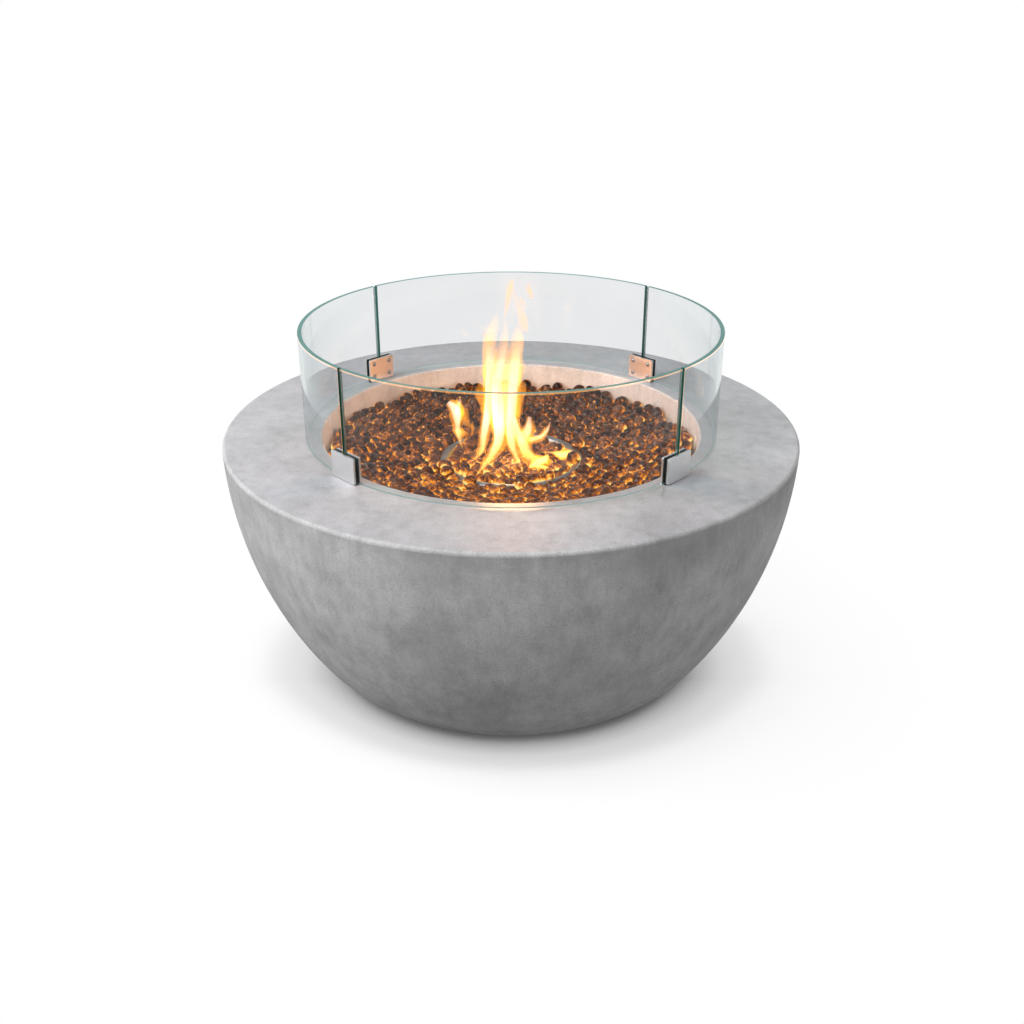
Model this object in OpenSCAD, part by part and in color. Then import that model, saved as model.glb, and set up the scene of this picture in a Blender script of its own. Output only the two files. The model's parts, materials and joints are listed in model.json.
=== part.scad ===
// Round concrete gas fire pit table with a glass wind guard.
// Millimetres, +Z up. The origin is on the floor under the bowl's axis, the front faces -Y,
// and the controls are at the back.

/* [Bowl] */
// Diameter over the rim
rim_d = 864; // [840:2:900]
// Height of the table top above the floor
bowl_h = 412; // [400:1:430]
// Radius of the long curve of the side
side_r = 590; // [560:5:620]
// Lean of the side just under the rim, in degrees
side_tilt = 1; // [0.5:0.5:3]
// Angle at which the side curve passes into the shoulder curve
roll_angle = 34; // [32:0.5:35]
// Angle at which the shoulder curve meets the base
base_angle = 77; // [74:1:80]
// Thickness of the side wall
wall_t = 30; // [26:1:34]
// Thickness of the table top
slab_t = 32; // [26:1:38]
// Thickness of the base ring
base_t = 30; // [26:1:36]
// Width of the base ring, from the edge of the base to the service hole
base_ring_w = 73; // [68:1:78]
// Rounding of the rim's top edge
rim_round = 5; // [3:0.5:8]
// Width of the rim left around the top, which lies in a rebate there
rim_w = 15; // [12:1:18]

/* [Fire well] */
// Diameter of the opening in the table top
well_d = 572; // [560:2:580]
// Depth of the well down to its ledge
well_depth = 95; // [90:1:105]
// Narrowing of the well's radius from its lip to the ledge
well_draft = 2; // [1:0.5:4]
// Thickness of the well's wall
well_wall_t = 25; // [20:1:27]
// Width of the ledge that carries the pan
ledge_w = 40; // [30:1:50]
// Thickness of the ledge
ledge_t = 22; // [18:1:26]
// Rounding of the well's lip
lip_round = 3; // [2:0.5:5]

/* [Feet and hose slot] */
// Height of a rubber foot
foot_h = 6; // [4:0.5:10]
// Diameter of a rubber foot
foot_d = 44; // [36:1:50]
// Distance of a foot's centre from the edge of the base
foot_inset = 36; // [30:1:44]
// Width of the slot that lets the gas line out at the back
slot_w = 40; // [30:1:50]
// Height of the slot's round top above the floor
slot_h = 38; // [37:1:46]

/* [Control pocket] */
// Distance of the controls below the table top
control_drop = 150; // [146:1:160]
// Width of the pocket
pocket_w = 148; // [140:1:156]
// Height of the pocket
pocket_h = 86; // [80:1:92]
// Corner radius of the pocket
pocket_round = 12; // [8:1:16]
// Depth of the pocket at its shallowest corner
pocket_depth = 14; // [10:1:18]
// Thickness of the wall behind the pocket
pocket_back_t = 22; // [16:1:26]
// Width of the wall around the pocket
pocket_side_t = 20; // [14:1:26]
// Gap around the control panel in the pocket
panel_gap = 3; // [1:0.5:5]
// Thickness of the control panel
panel_t = 2; // [1.5:0.5:3]
// Width of the concrete step that the panel is screwed to
panel_step = 15; // [13:1:18]
// Distance of the knob and the button from the panel's middle
control_dx = 32; // [30:1:34]

/* [Burner] */
// Sheet thickness of the pan
pan_t = 1.5; // [1:0.5:3]
// Height of the pan's upturned edge
pan_wall_h = 14; // [8:1:20]
// Gap around the pan in the well
pan_gap = 1; // [0.5:0.5:3]
// Outer diameter of the ring burner
ring_d = 228; // [200:2:260]
// Diameter of the ring's tube
ring_tube_d = 16; // [14:1:19]
// Depth of the ring's top below the table top
ring_drop = 55; // [50:1:58]
// Wall of the burner tubes
tube_wall = 1.2; // [1:0.1:2]
// Number of gas ports round the ring
port_count = 36; // [24:4:48]
// Diameter of a gas port
port_d = 2.4; // [1.6:0.2:3]
// Diameter of the feed tube under the ring
feed_d = 14; // [12:0.5:15]
// Height of the feed tube above the pan
feed_lift = 5; // [2:0.5:7]
// Diameter of the inlet nipple
nipple_d = 17; // [16:0.5:18]

/* [Fire glass] */
// Depth of the glass below the table top at the well's wall
glass_drop_wall = 38; // [34:1:42]
// Depth of the glass below the table top at the ring
glass_drop_ring = 60; // [58:1:64]
// Diameter of a glass bead
bead_d = 18; // [15:0.5:20]
// Gap between two rows of beads
bead_gap = 0.8; // [0.5:0.1:2]
// Distance along a row between two beads that stand out
bead_step = 40; // [30:1:60]

/* [Wind guard] */
// Distance of the middle of the glass from the edge of the well
guard_set = 22; // [17:1:29]
// Thickness of the glass
glass_t = 6; // [5:0.5:8]
// Height of the glass's top edge above the table top
glass_top = 158.5; // [120:0.5:200]
// Height of the glass's bottom edge above the table top
glass_lift = 2.5; // [2:0.25:4]
// Gap between two panels of glass
seam_gap = 5; // [3:0.5:8]
// Angle of a seam from the front or back, in degrees
seam_angle = 46.5; // [42:0.5:50]
// Width of a clamp plate
clamp_w = 50; // [44:1:60]
// Height of a clamp plate
clamp_h = 37; // [34:1:50]
// Thickness of a clamp plate
clamp_t = 3; // [2.5:0.5:5]
// Corner radius of a clamp plate
clamp_round = 2; // [1:0.5:4]
// Thickness of the gasket at its thinnest
gasket_t = 0.8; // [0.5:0.1:2]
// Height of the plates above the table top
clamp_lift = 1; // [0.5:0.25:2]
// Distance between two clamp screws across the seam
screw_dx = 32; // [30:1:34]
// Distance between two clamp screws up the plate
screw_dz = 21; // [18:1:23]
// Diameter of a clamp screw
screw_d = 4; // [3:0.5:5]
// Diameter of a clamp screw's head
screw_head_d = 7.6; // [7:0.2:9]
// Height of a clamp screw's head
screw_head_h = 2.2; // [1.6:0.2:3]
// Diameter of a hole in the glass
glass_hole_d = 8; // [7:0.5:10]

/* [Gas train] */
// Height of the locknut under the pan
locknut_h = 8; // [6:1:10]
// Diameter of the air mixer
mixer_d = 28; // [26:1:34]
// Length of the air mixer
mixer_len = 52; // [46:1:60]
// Diameter of a gas flare fitting
flare_d = 15.88; // [14:0.02:17]
// Length of a gas flare fitting
flare_len = 16; // [14:1:18]
// Diameter of the supply hose
hose_d = 16; // [14:0.5:17]
// Wall of the supply hose
hose_wall = 2.5; // [1.5:0.5:3]
// Bend radius of the supply hose
hose_bend = 75; // [64:1:85]
// Diameter of the valve body
valve_d = 34; // [30:1:38]
// Length of the valve body
valve_len = 56; // [52:1:64]
// Diameter of the valve's neck through the panel
neck_d = 16; // [14:0.5:18]
// Length of the neck beyond the pocket's back wall
neck_len = 9; // [8:0.5:11]
// Diameter of the valve plug
plug_d = 20; // [18:0.5:22]
// Length of the valve plug
plug_len = 22; // [20:1:24]
// Diameter of the valve stem
stem_d = 8; // [7:0.5:9]
// How far the knob can be pushed
push_travel = 3; // [2:0.5:3.5]

/* [Knob and igniter] */
// Diameter of the knob
knob_d = 40; // [34:1:46]
// Length of the knob
knob_len = 24; // [22:1:28]
// Number of grip flutes round the knob
flute_count = 12; // [8:1:18]
// Diameter of the igniter's tube
igniter_d = 22; // [21:0.5:24]
// Diameter of the igniter's battery
battery_d = 14.5; // [14:0.1:14.5]
// Length of the igniter's battery
battery_len = 50.5; // [48:0.5:52]
// Diameter of the igniter's button
button_d = 18; // [16:0.5:18]
// How far the button stands out of its flange
button_out = 4.5; // [4:0.5:7]
// How far the button can be pushed
button_travel = 3.5; // [2:0.5:3.5]
// Distance of the spark electrode and thermocouple from the bracket's middle
sensor_dx = 14; // [12:1:18]
// Diameter of the electrode's ceramic tube
ceramic_d = 7; // [6:0.5:8]
// Diameter of the thermocouple
thermocouple_d = 5; // [4:0.5:6]

/* [Hidden] */
CORNERS = ["back_right", "back_left", "front_left", "front_right"];
SIDES = ["right", "back", "left", "front"];
$fn = 96;

// Clearances and small allowances
run_gap = 0.05;
slip_gap = 0.3;
hole_gap = 0.2;
over = 1;
curve_steps = 22;
cavity_steps = 8;
bead_sides = 24;
round_steps = 6;

// Heights
top_z = bowl_h;
base_z = foot_h;
ledge_z = top_z - well_depth;
under_z = ledge_z - ledge_t;
control_z = top_z - control_drop;

// Centres of the rim rounding, the side curve and the shoulder curve, as radius and height
rim_r = rim_d / 2;
rim_c = [rim_r - rim_round, top_z - rim_round];
side_c = rim_c - (side_r - rim_round) * [cos(side_tilt), -sin(side_tilt)];
shoulder_r = (side_c.y - base_z - side_r * sin(roll_angle)) / (sin(base_angle) - sin(roll_angle));
shoulder_c = side_c + (side_r - shoulder_r) * [cos(roll_angle), -sin(roll_angle)];
base_r = shoulder_c.x + shoulder_r * cos(base_angle);
base_hole_r = base_r - base_ring_w;
top_r = rim_r - rim_w;
seat_z = top_z - slab_t;

// Fire well and pan
well_r = well_d / 2;
well_floor_r = well_r - well_draft;
ledge_hole_r = well_floor_r - ledge_w;
pan_r = well_floor_r - pan_gap;
pan_top = ledge_z + pan_t;

// Control pocket: the flat back wall lies a set depth behind the pocket's shallowest corner
pocket_low_r = side_c.x + sqrt(side_r ^ 2 - (side_c.y - control_z + pocket_h / 2) ^ 2);
panel_y = sqrt(pocket_low_r ^ 2 - (pocket_w / 2) ^ 2) - pocket_depth;
panel_w = pocket_w - 2 * panel_gap;
panel_h = pocket_h - 2 * panel_gap;
panel_round = pocket_round - panel_gap;
window_w = pocket_w - 2 * (panel_gap + panel_step);
window_h = pocket_h - 2 * (panel_gap + panel_step);
panel_screw_d = 4;
panel_screw_len = 14;
panel_screw_x = panel_w / 2 - panel_step / 2;
panel_screw_z = panel_h / 2 - panel_step / 2;

// Burner
ring_r = (ring_d - ring_tube_d) / 2;
ring_z = top_z - ring_drop - ring_tube_d / 2;
ring_top = top_z - ring_drop;
feed_z = pan_top + feed_lift + feed_d / 2;
feed_end = 4;
riser_d = feed_d - 3;
riser_bore = riser_d - 2 * tube_wall;
nipple_drop = 22;
nipple_low = ledge_z - nipple_drop;
standoff_d = 12;
standoff_screw_d = 5;
standoff_screw_len = 14;
small_head_d = 9;
small_head_h = 3;
port_lean = 30;

// Fire glass
trench_in = ring_r - ring_tube_d / 2 - slip_gap;
trench_out = ring_r + ring_tube_d / 2 + slip_gap;
glass_wall_z = top_z - glass_drop_wall;
glass_ring_z = top_z - glass_drop_ring;
bed_low_r = pan_r - pan_t - slip_gap;
bed_high_r = well_floor_r - slip_gap;
bed_step_z = ledge_z + pan_wall_h + slip_gap;
bead_pitch = bead_d + bead_gap;
bead_rows = floor((bed_high_r - trench_out) / bead_pitch);
row_w = (bed_high_r - trench_out) / bead_rows;
row_rise = (glass_wall_z - glass_ring_z) / (bead_rows - 1);
inner_rows = floor(trench_in / bead_pitch);
golden_turn = 180 * (3 - sqrt(5));

// Sensors behind the ring
sensor_y = ring_d / 2 + 18;
sensor_low = ledge_z - 20;
ceramic_top = ring_top + 2;
spark_z = ring_top + 12;
spark_reach = 16;
rod_d = 2.4;
rod_bend = 5;
thermocouple_top = ring_top + 8;
bracket_t = 1.5;
bracket_d = 18;
bracket_h = 18;
bracket_leg_x = sensor_dx + 10;
bracket_foot = 12;
bracket_screw_d = 4;
bracket_screw_len = 8;

// Gas train
mixer_top = ledge_z - locknut_h;
mixer_low = mixer_top - mixer_len;
mixer_wall = 3;
mixer_socket = mixer_top - nipple_low;
spud_d = 10;
spud_len = 12;
flare_bore = flare_d - 6;
hex_h = 6;
hex_flat = 19;
inlet_flat = 21;
hose_top_in = mixer_low - hex_h - flare_len;
valve_port_back = 40;
valve_port_d = 18;
valve_port_len = 30;
valve_y = panel_y - valve_port_back;
hose_top_out = control_z - valve_port_len;
hose_straight = 14;
hose_low = min(hose_top_in, hose_top_out) - hose_straight - hose_bend;
hose_span = sqrt(valve_y ^ 2 + control_dx ^ 2);
hose_turn = atan2(valve_y, -control_dx);
nut_len = 14;

// Valve, stem and knob: heights here run outward from the pocket's back wall
plug_back = -valve_len + 6;
plug_front = plug_back + plug_len;
chamber_front = -10;
chamber_d = 16;
collar_d = 14;
collar_t = 3;
collar_front = chamber_front - slip_gap;
collar_back = collar_front - collar_t;
blade_w = 6.4;
blade_t = 2.4;
blade_in = 6;
slot_deep = blade_in + push_travel + 3;
stem_flat = stem_d / 2 - 1;
valve_nut_h = 5;
valve_nut_flat = 22;
knob_back = panel_t + push_travel + 1;
knob_recess_r = valve_nut_flat / 2 + 4;
knob_recess = neck_len + push_travel + 1;
stem_front = knob_back + knob_len - 4;
knob_skirt_h = 3;
knob_skirt = 1;
knob_taper = 2;
flute_start = knob_back + knob_skirt_h + 2 * knob_skirt;
knob_round = 3;
flute_d = 8;
flute_cut = 2.8;
pointer_w = 3;
pointer_h = 1.5;
grub_d = 3;
grub_len = 8;
grub_at = knob_back + knob_len - 8;

// Springs
spring_sides = 6;
spring_rings = 8;
spring_end_gap = 0.1;
stem_wire = 1.2;
stem_coil_d = 12.4;
stem_turns = 5;
button_wire = 1;
button_coil_d = 10;
button_turns = 3;
spring_room = 0.5;
button_spring_solid = (button_turns + 1) * button_wire + spring_room;

// Igniter: heights here run outward from the pocket's back wall too
igniter_back = -62;
igniter_floor = -58;
igniter_wide = -5;
igniter_flange_d = igniter_d + 6;
igniter_flange_h = 2.5;
igniter_front = panel_t + igniter_flange_h;
igniter_post_d = 6;
igniter_post_len = 6;
igniter_nut_h = 6;
igniter_nut_flat = igniter_d + 6;
button_back = igniter_floor + battery_len + button_spring_solid + button_travel;
button_front = igniter_front + button_out;

// Leads
lead_sides = 8;
lead_rings = 24;
ignition_lead_d = 4;
thermocouple_lead_d = 3.2;
lead_drop = 45;
lead_run = 70;

// Wind guard
guard_d = well_d + 2 * guard_set;
glass_in = (guard_d - glass_t) / 2;
glass_out = (guard_d + glass_t) / 2;
glass_base_z = top_z + glass_lift;
glass_top_z = top_z + glass_top;
half_gap = asin(seam_gap / guard_d);
seams = [90 - seam_angle, 90 + seam_angle, 270 - seam_angle, 270 + seam_angle];
plate_out = glass_out + gasket_t;
plate_in = sqrt(glass_in ^ 2 - (clamp_w / 2) ^ 2) - gasket_t;
clamp_z = top_z + clamp_lift;
clamp_mid_z = clamp_z + clamp_h / 2;
thread_in = clamp_t - 1;
socket_flat = 2.5;
socket_deep = 1.2;

concrete = [0.69, 0.69, 0.70];
steel = [0.78, 0.78, 0.80];
dark_steel = [0.45, 0.45, 0.47];
brass = [0.80, 0.63, 0.30];
black = [0.09, 0.09, 0.10];
clear_glass = [0.72, 0.86, 0.84, 0.35];
amber = [0.55, 0.26, 0.08];
white_ceramic = [0.93, 0.92, 0.88];
copper = [0.72, 0.45, 0.28];

// Points of an arc, as [x, y]
function arc(c, r, from, to, steps) =
    [for (i = [0:steps]) let(a = from + (to - from) * i / steps) c + r * [cos(a), sin(a)]];

function tail(points) = [for (i = [1:len(points) - 1]) points[i]];

// The bowl's side from a low to a high level, set in from the outside by a distance
function side_curve(inset, low, high, steps) =
    let(low_a = asin(min(1, (shoulder_c.y - low) / (shoulder_r - inset))),
        high_a = asin((side_c.y - high) / (side_r - inset)))
    concat(arc(shoulder_c, shoulder_r - inset, -low_a, -roll_angle, steps),
           tail(arc(side_c, side_r - inset, -roll_angle, -high_a, steps)));

// A closed tube of triangles through rings of points
module skin(rings, sides) {
    last = len(rings) - 1;
    wall = [for (k = [0:last - 1], j = [0:sides - 1])
        let(a = k * sides + j, b = k * sides + (j + 1) % sides, c = a + sides, d = b + sides)
        each [[a, b, d], [a, d, c]]];
    end = last * sides;
    caps = [for (j = [1:sides - 2]) each [[0, j + 1, j], [end, end + j, end + j + 1]]];
    polyhedron([for (ring = rings) each ring], concat(wall, caps));
}

function unit(v) = v / norm(v);

// Rings of a round tube along a list of points, kept upright to a fixed sideways direction
function tube_rings(path, r, sides, sideways) =
    let(last = len(path) - 1)
    [for (k = [0:last])
        let(ahead = unit(path[min(k + 1, last)] - path[max(k - 1, 0)]),
            u = unit(cross(sideways, ahead)), v = cross(ahead, u))
        [for (j = [0:sides - 1]) let(a = 360 * j / sides) path[k] + r * (cos(a) * v + sin(a) * u)]];

function bezier(p, t) =
    (1 - t) ^ 3 * p[0] + 3 * (1 - t) ^ 2 * t * p[1] + 3 * (1 - t) * t ^ 2 * p[2] + t ^ 3 * p[3];

// A coil spring standing on z = 0
module coil(coil_d, wire, length, turns) {
    r = (coil_d - wire) / 2;
    low = wire / 2 + spring_end_gap;
    high = length - wire / 2 - spring_end_gap;
    steps = turns * spring_rings;
    rings = [for (k = [0:steps])
        let(a = 360 * k / spring_rings, z = low + (high - low) * k / steps)
        [for (j = [0:spring_sides - 1]) let(b = 360 * j / spring_sides)
            [(r + wire / 2 * cos(b)) * cos(a), (r + wire / 2 * cos(b)) * sin(a), z + wire / 2 * sin(b)]]];
    skin(rings, spring_sides);
}

module hex(flat, h) {
    cylinder(d = flat / cos(30), h = h, $fn = 6);
}

module rounded_rect(w, h, r) {
    square([w - 2 * r, h], center = true);
    square([w, h - 2 * r], center = true);
    for (x = [-1, 1], y = [-1, 1])
        translate([x * (w / 2 - r), y * (h / 2 - r)]) circle(r = r);
}

// Places its children with +Z outward from the pocket's back wall, at x across the panel
module at_panel(x) {
    translate([x, panel_y, control_z]) rotate([-90, 0, 0]) children();
}

// Places its children with +Z outward and +X along the rim, at one clamp
module at_seam(i) {
    rotate([0, 0, seams[i]]) rotate([90, 0, 90]) children();
}

module ring_solid(r) {
    translate([0, 0, ring_z]) rotate_extrude() translate([ring_r, 0]) circle(r = r);
}

// Bowl

module bowl_outline() {
    polygon(concat([[0, base_z]],
                   side_curve(0, base_z, rim_c.y - rim_round * sin(side_tilt), curve_steps),
                   tail(arc(rim_c, rim_round, -side_tilt, 90, round_steps)),
                   [[0, top_z]]));
}

module cavity_outline(inset) {
    polygon(concat([[0, base_z + base_t]],
                   side_curve(inset, base_z + base_t, seat_z, cavity_steps),
                   [[0, seat_z]]));
}

module well_outline() {
    polygon(concat([[0, ledge_z], [well_floor_r, ledge_z]],
                   arc([well_r + lip_round, top_z - lip_round], lip_round, 180, 90, round_steps),
                   [[well_r + lip_round, top_z + over], [0, top_z + over]]));
}

// The bowl alone, open at the top, with a rebate in its rim
module bowl_section() {
    difference() {
        bowl_outline();
        cavity_outline(wall_t);
        translate([0, seat_z]) square([top_r, slab_t + over]);
        square([base_hole_r, base_z + base_t + over]);
    }
}

// The top with the fire well and its ledge hanging from it
module top_section() {
    difference() {
        union() {
            translate([0, seat_z]) square([top_r, slab_t]);
            translate([0, under_z]) square([well_r + well_wall_t, seat_z - under_z]);
        }
        well_outline();
        translate([0, under_z - over]) square([ledge_hole_r, ledge_t + 2 * over]);
    }
}

module pocket_block() {
    intersection() {
        rotate_extrude() cavity_outline(wall_t / 2);
        at_panel(0) translate([0, 0, -pocket_back_t]) linear_extrude(rim_r)
            square([pocket_w, pocket_h] + 2 * pocket_side_t * [1, 1], center = true);
    }
}

module panel_screw_places() {
    for (x = [-1, 1], z = [-1, 1])
        translate([x * panel_screw_x, z * panel_screw_z, 0]) children();
}

module hose_slot() {
    translate([0, 0, slot_h - slot_w / 2]) rotate([-90, 0, 0]) cylinder(d = slot_w, h = rim_r);
    translate([-slot_w / 2, 0, -over]) cube([slot_w, rim_r, slot_h - slot_w / 2 + over]);
}

module bowl_shell() {
    color(concrete) difference() {
        union() {
            rotate_extrude() bowl_section();
            pocket_block();
        }
        at_panel(0) linear_extrude(rim_r) rounded_rect(pocket_w, pocket_h, pocket_round);
        at_panel(0) translate([0, 0, -pocket_back_t - over])
            linear_extrude(pocket_back_t + 2 * over) square([window_w, window_h], center = true);
        at_panel(0) panel_screw_places()
            translate([0, 0, -panel_screw_len]) cylinder(d = panel_screw_d, h = panel_screw_len + over);
        hose_slot();
    }
}

module table_top() {
    color(concrete) rotate_extrude() top_section();
}

module foot(i) {
    color(black) rotate([0, 0, 45 + 90 * i]) translate([base_r - foot_inset, 0, 0])
        cylinder(d1 = foot_d - foot_h / 2, d2 = foot_d, h = foot_h);
}

// Burner

module burner_pan() {
    drain_count = 6;
    drain_d = 10;
    color(dark_steel) difference() {
        translate([0, 0, ledge_z]) rotate_extrude() {
            square([pan_r, pan_t]);
            translate([pan_r - pan_t, 0]) square([pan_t, pan_wall_h]);
        }
        translate([0, 0, ledge_z - over]) {
            cylinder(d = nipple_d + 2 * hole_gap, h = pan_t + 2 * over);
            for (y = [-1, 1])
                translate([0, y * ring_r, 0]) cylinder(d = standoff_screw_d, h = pan_t + 2 * over);
            for (x = [-1, 1])
                translate([x * (bracket_leg_x + bracket_foot / 2), sensor_y, 0])
                    cylinder(d = bracket_screw_d, h = pan_t + 2 * over);
            translate([sensor_dx, sensor_y, 0])
                cylinder(d = ceramic_d + 2 * hole_gap, h = pan_t + 2 * over);
            translate([-sensor_dx, sensor_y, 0])
                cylinder(d = thermocouple_d + 2 * hole_gap, h = pan_t + 2 * over);
            for (i = [0:drain_count - 1])
                rotate([0, 0, 360 * (i + 0.5) / drain_count]) translate([(ring_r + ledge_hole_r) / 2, 0, 0])
                    cylinder(d = drain_d, h = pan_t + 2 * over);
        }
    }
}

module burner_ring() {
    color(steel) difference() {
        translate([0, 0, ring_z]) rotate_extrude() translate([ring_r, 0]) difference() {
            circle(d = ring_tube_d);
            circle(d = ring_tube_d - 2 * tube_wall);
        }
        for (i = [0:port_count - 1])
            rotate([0, 0, 360 * i / port_count]) translate([ring_r, 0, ring_z]) rotate([0, -port_lean, 0])
                cylinder(d = port_d, h = ring_tube_d);
        for (x = [-1, 1])
            translate([x * ring_r, 0, ring_z - ring_tube_d]) cylinder(d = riser_bore, h = ring_tube_d);
    }
}

module feed_tube() {
    half = ring_r + riser_d / 2 + feed_end;
    color(steel) difference() {
        union() {
            translate([-half, 0, feed_z]) rotate([0, 90, 0]) cylinder(d = feed_d, h = 2 * half);
            for (x = [-1, 1])
                translate([x * ring_r, 0, feed_z]) cylinder(d = riser_d, h = ring_z - feed_z);
        }
        ring_solid(ring_tube_d / 2);
        translate([-half + feed_end, 0, feed_z]) rotate([0, 90, 0])
            cylinder(d = feed_d - 2 * tube_wall, h = 2 * (half - feed_end));
        for (x = [-1, 1])
            translate([x * ring_r, 0, feed_z]) cylinder(d = riser_bore, h = ring_z - feed_z);
        translate([0, 0, pan_top]) cylinder(d = riser_bore, h = feed_z - pan_top);
    }
}

module inlet_nipple() {
    color(steel) difference() {
        translate([0, 0, nipple_low]) cylinder(d = nipple_d, h = feed_z - nipple_low);
        translate([-nipple_d, 0, feed_z]) rotate([0, 90, 0]) cylinder(d = feed_d, h = 2 * nipple_d);
        translate([0, 0, nipple_low - over]) cylinder(d = riser_bore, h = feed_z - nipple_low + over);
    }
}

module pan_locknut() {
    color(steel) translate([0, 0, ledge_z - locknut_h]) difference() {
        hex(nipple_d + 10, locknut_h);
        translate([0, 0, -over]) cylinder(d = nipple_d, h = locknut_h + 2 * over);
    }
}

module ring_standoffs() {
    color(steel) for (y = [-1, 1]) difference() {
        translate([0, y * ring_r, pan_top]) cylinder(d = standoff_d, h = ring_z - pan_top);
        ring_solid(ring_tube_d / 2);
        translate([0, y * ring_r, pan_top - over])
            cylinder(d = standoff_screw_d, h = standoff_screw_len - pan_t + over);
    }
}

module standoff_screws() {
    color(steel) for (y = [-1, 1]) translate([0, y * ring_r, ledge_z]) {
        translate([0, 0, -small_head_h]) cylinder(d = small_head_d, h = small_head_h);
        cylinder(d = standoff_screw_d, h = standoff_screw_len);
    }
}

// A round row of beads, half sunk in the bed
module bead_row(r, z, turn) {
    count = max(1, floor(2 * PI * r / bead_step));
    for (i = [0:count - 1])
        rotate([0, 0, turn + 360 * i / count]) translate([r, 0, z]) sphere(d = bead_d, $fn = bead_sides);
}

// The bed is an inner disc and an outer ring that rises in low steps, a row of beads on each,
// with the burner in the trench between them
module fire_glass() {
    steps = [for (k = [0:bead_rows - 1]) each
        [[trench_out + k * row_w, glass_ring_z + k * row_rise],
         [trench_out + (k + 1) * row_w, glass_ring_z + k * row_rise]]];
    color(amber) difference() {
        union() {
            rotate_extrude() polygon(concat(steps, [[bed_high_r, bed_step_z], [bed_low_r, bed_step_z],
                                                    [bed_low_r, pan_top], [trench_out, pan_top]]));
            for (k = [0:bead_rows - 1])
                bead_row(trench_out + (k + 0.5) * row_w, glass_ring_z + k * row_rise, k * golden_turn);
            translate([0, 0, pan_top]) cylinder(r = trench_in, h = glass_ring_z - pan_top);
            for (k = [0:inner_rows - 1])
                bead_row(k * bead_pitch, glass_ring_z, k * golden_turn);
        }
        burner_hollows();
    }
}

// Room in the glass for the pieces that stand in it
module burner_hollows() {
    half = ring_r + riser_d / 2 + feed_end + slip_gap;
    wide = feed_d + 2 * slip_gap;
    foot_half = bracket_leg_x + bracket_foot + slip_gap;
    translate([-half, -wide / 2, pan_top - over]) cube([2 * half, wide, feed_z + wide / 2 - pan_top + over]);
    translate([0, 0, pan_top - over]) cylinder(d = nipple_d + 2 * slip_gap, h = feed_z - pan_top + over);
    translate([-foot_half, sensor_y - bracket_d / 2 - slip_gap, pan_top - over])
        cube([2 * foot_half, bracket_d + 2 * slip_gap, bracket_h + 2 * over]);
    translate([sensor_dx, sensor_y, pan_top]) cylinder(d = ceramic_d + 2 * slip_gap, h = top_z);
    translate([-sensor_dx, sensor_y, pan_top]) cylinder(d = thermocouple_d + 2 * slip_gap, h = top_z);
}

// Sensors

module sensor_bracket() {
    half = bracket_leg_x + bracket_foot;
    inside = bracket_leg_x - bracket_t;
    color(steel) translate([0, sensor_y, pan_top]) difference() {
        translate([0, bracket_d / 2, 0]) rotate([90, 0, 0]) linear_extrude(bracket_d) {
            translate([-bracket_leg_x, bracket_h - bracket_t]) square([2 * bracket_leg_x, bracket_t]);
            for (x = [0, 1]) mirror([x, 0]) {
                translate([inside, 0]) square([bracket_t, bracket_h]);
                translate([inside, 0]) square([half - inside, bracket_t]);
            }
        }
        translate([sensor_dx, 0, bracket_h / 2]) cylinder(d = ceramic_d, h = bracket_h);
        translate([-sensor_dx, 0, bracket_h / 2]) cylinder(d = thermocouple_d, h = bracket_h);
        for (x = [-1, 1])
            translate([x * (bracket_leg_x + bracket_foot / 2), 0, -over])
                cylinder(d = bracket_screw_d, h = bracket_t + 2 * over);
    }
}

module bracket_screws() {
    head_d = bracket_screw_d + 3;
    color(steel) for (x = [-1, 1])
        translate([x * (bracket_leg_x + bracket_foot / 2), sensor_y, pan_top + bracket_t]) {
            cylinder(d = head_d, h = small_head_h);
            translate([0, 0, -bracket_screw_len]) cylinder(d = bracket_screw_d, h = bracket_screw_len);
        }
}

module spark_electrode() {
    color(white_ceramic) translate([sensor_dx, sensor_y, sensor_low]) difference() {
        cylinder(d = ceramic_d, h = ceramic_top - sensor_low);
        translate([0, 0, -over]) cylinder(d = rod_d, h = ceramic_top - sensor_low + 2 * over);
    }
}

module electrode_rod() {
    color(steel) translate([sensor_dx, sensor_y, 0]) {
        translate([0, 0, sensor_low]) cylinder(d = rod_d, h = spark_z - rod_bend - sensor_low);
        translate([0, -rod_bend, spark_z - rod_bend]) rotate([90, 0, 90]) rotate_extrude(angle = 90)
            translate([rod_bend, 0]) circle(d = rod_d);
        translate([0, -rod_bend, spark_z]) rotate([90, 0, 0]) cylinder(d = rod_d, h = spark_reach - rod_bend);
    }
}

module thermocouple() {
    tip = 3;
    color(copper) translate([-sensor_dx, sensor_y, sensor_low]) {
        cylinder(d = thermocouple_d, h = thermocouple_top - sensor_low - tip);
        translate([0, 0, thermocouple_top - sensor_low - tip])
            cylinder(d1 = thermocouple_d, d2 = thermocouple_d / 2, h = tip);
    }
}

// Control points of a lead that leaves a sensor downward and enters a control from the front
function lead_points(x, end) =
    [[x, sensor_y, sensor_low], [x, sensor_y, sensor_low - lead_drop], end - [0, lead_run, 0], end];

module lead(points, d) {
    path = [for (k = [0:lead_rings]) bezier(points, k / lead_rings)];
    skin(tube_rings(path, d / 2, lead_sides, [1, 0, 0]), lead_sides);
}

module ignition_lead() {
    color(black) lead(lead_points(sensor_dx,
        [control_dx, panel_y + igniter_back - igniter_post_len, control_z]), ignition_lead_d);
}

module thermocouple_lead() {
    color(copper) lead(lead_points(-sensor_dx,
        [-control_dx, panel_y - valve_len, control_z]), thermocouple_lead_d);
}

// Gas train

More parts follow.
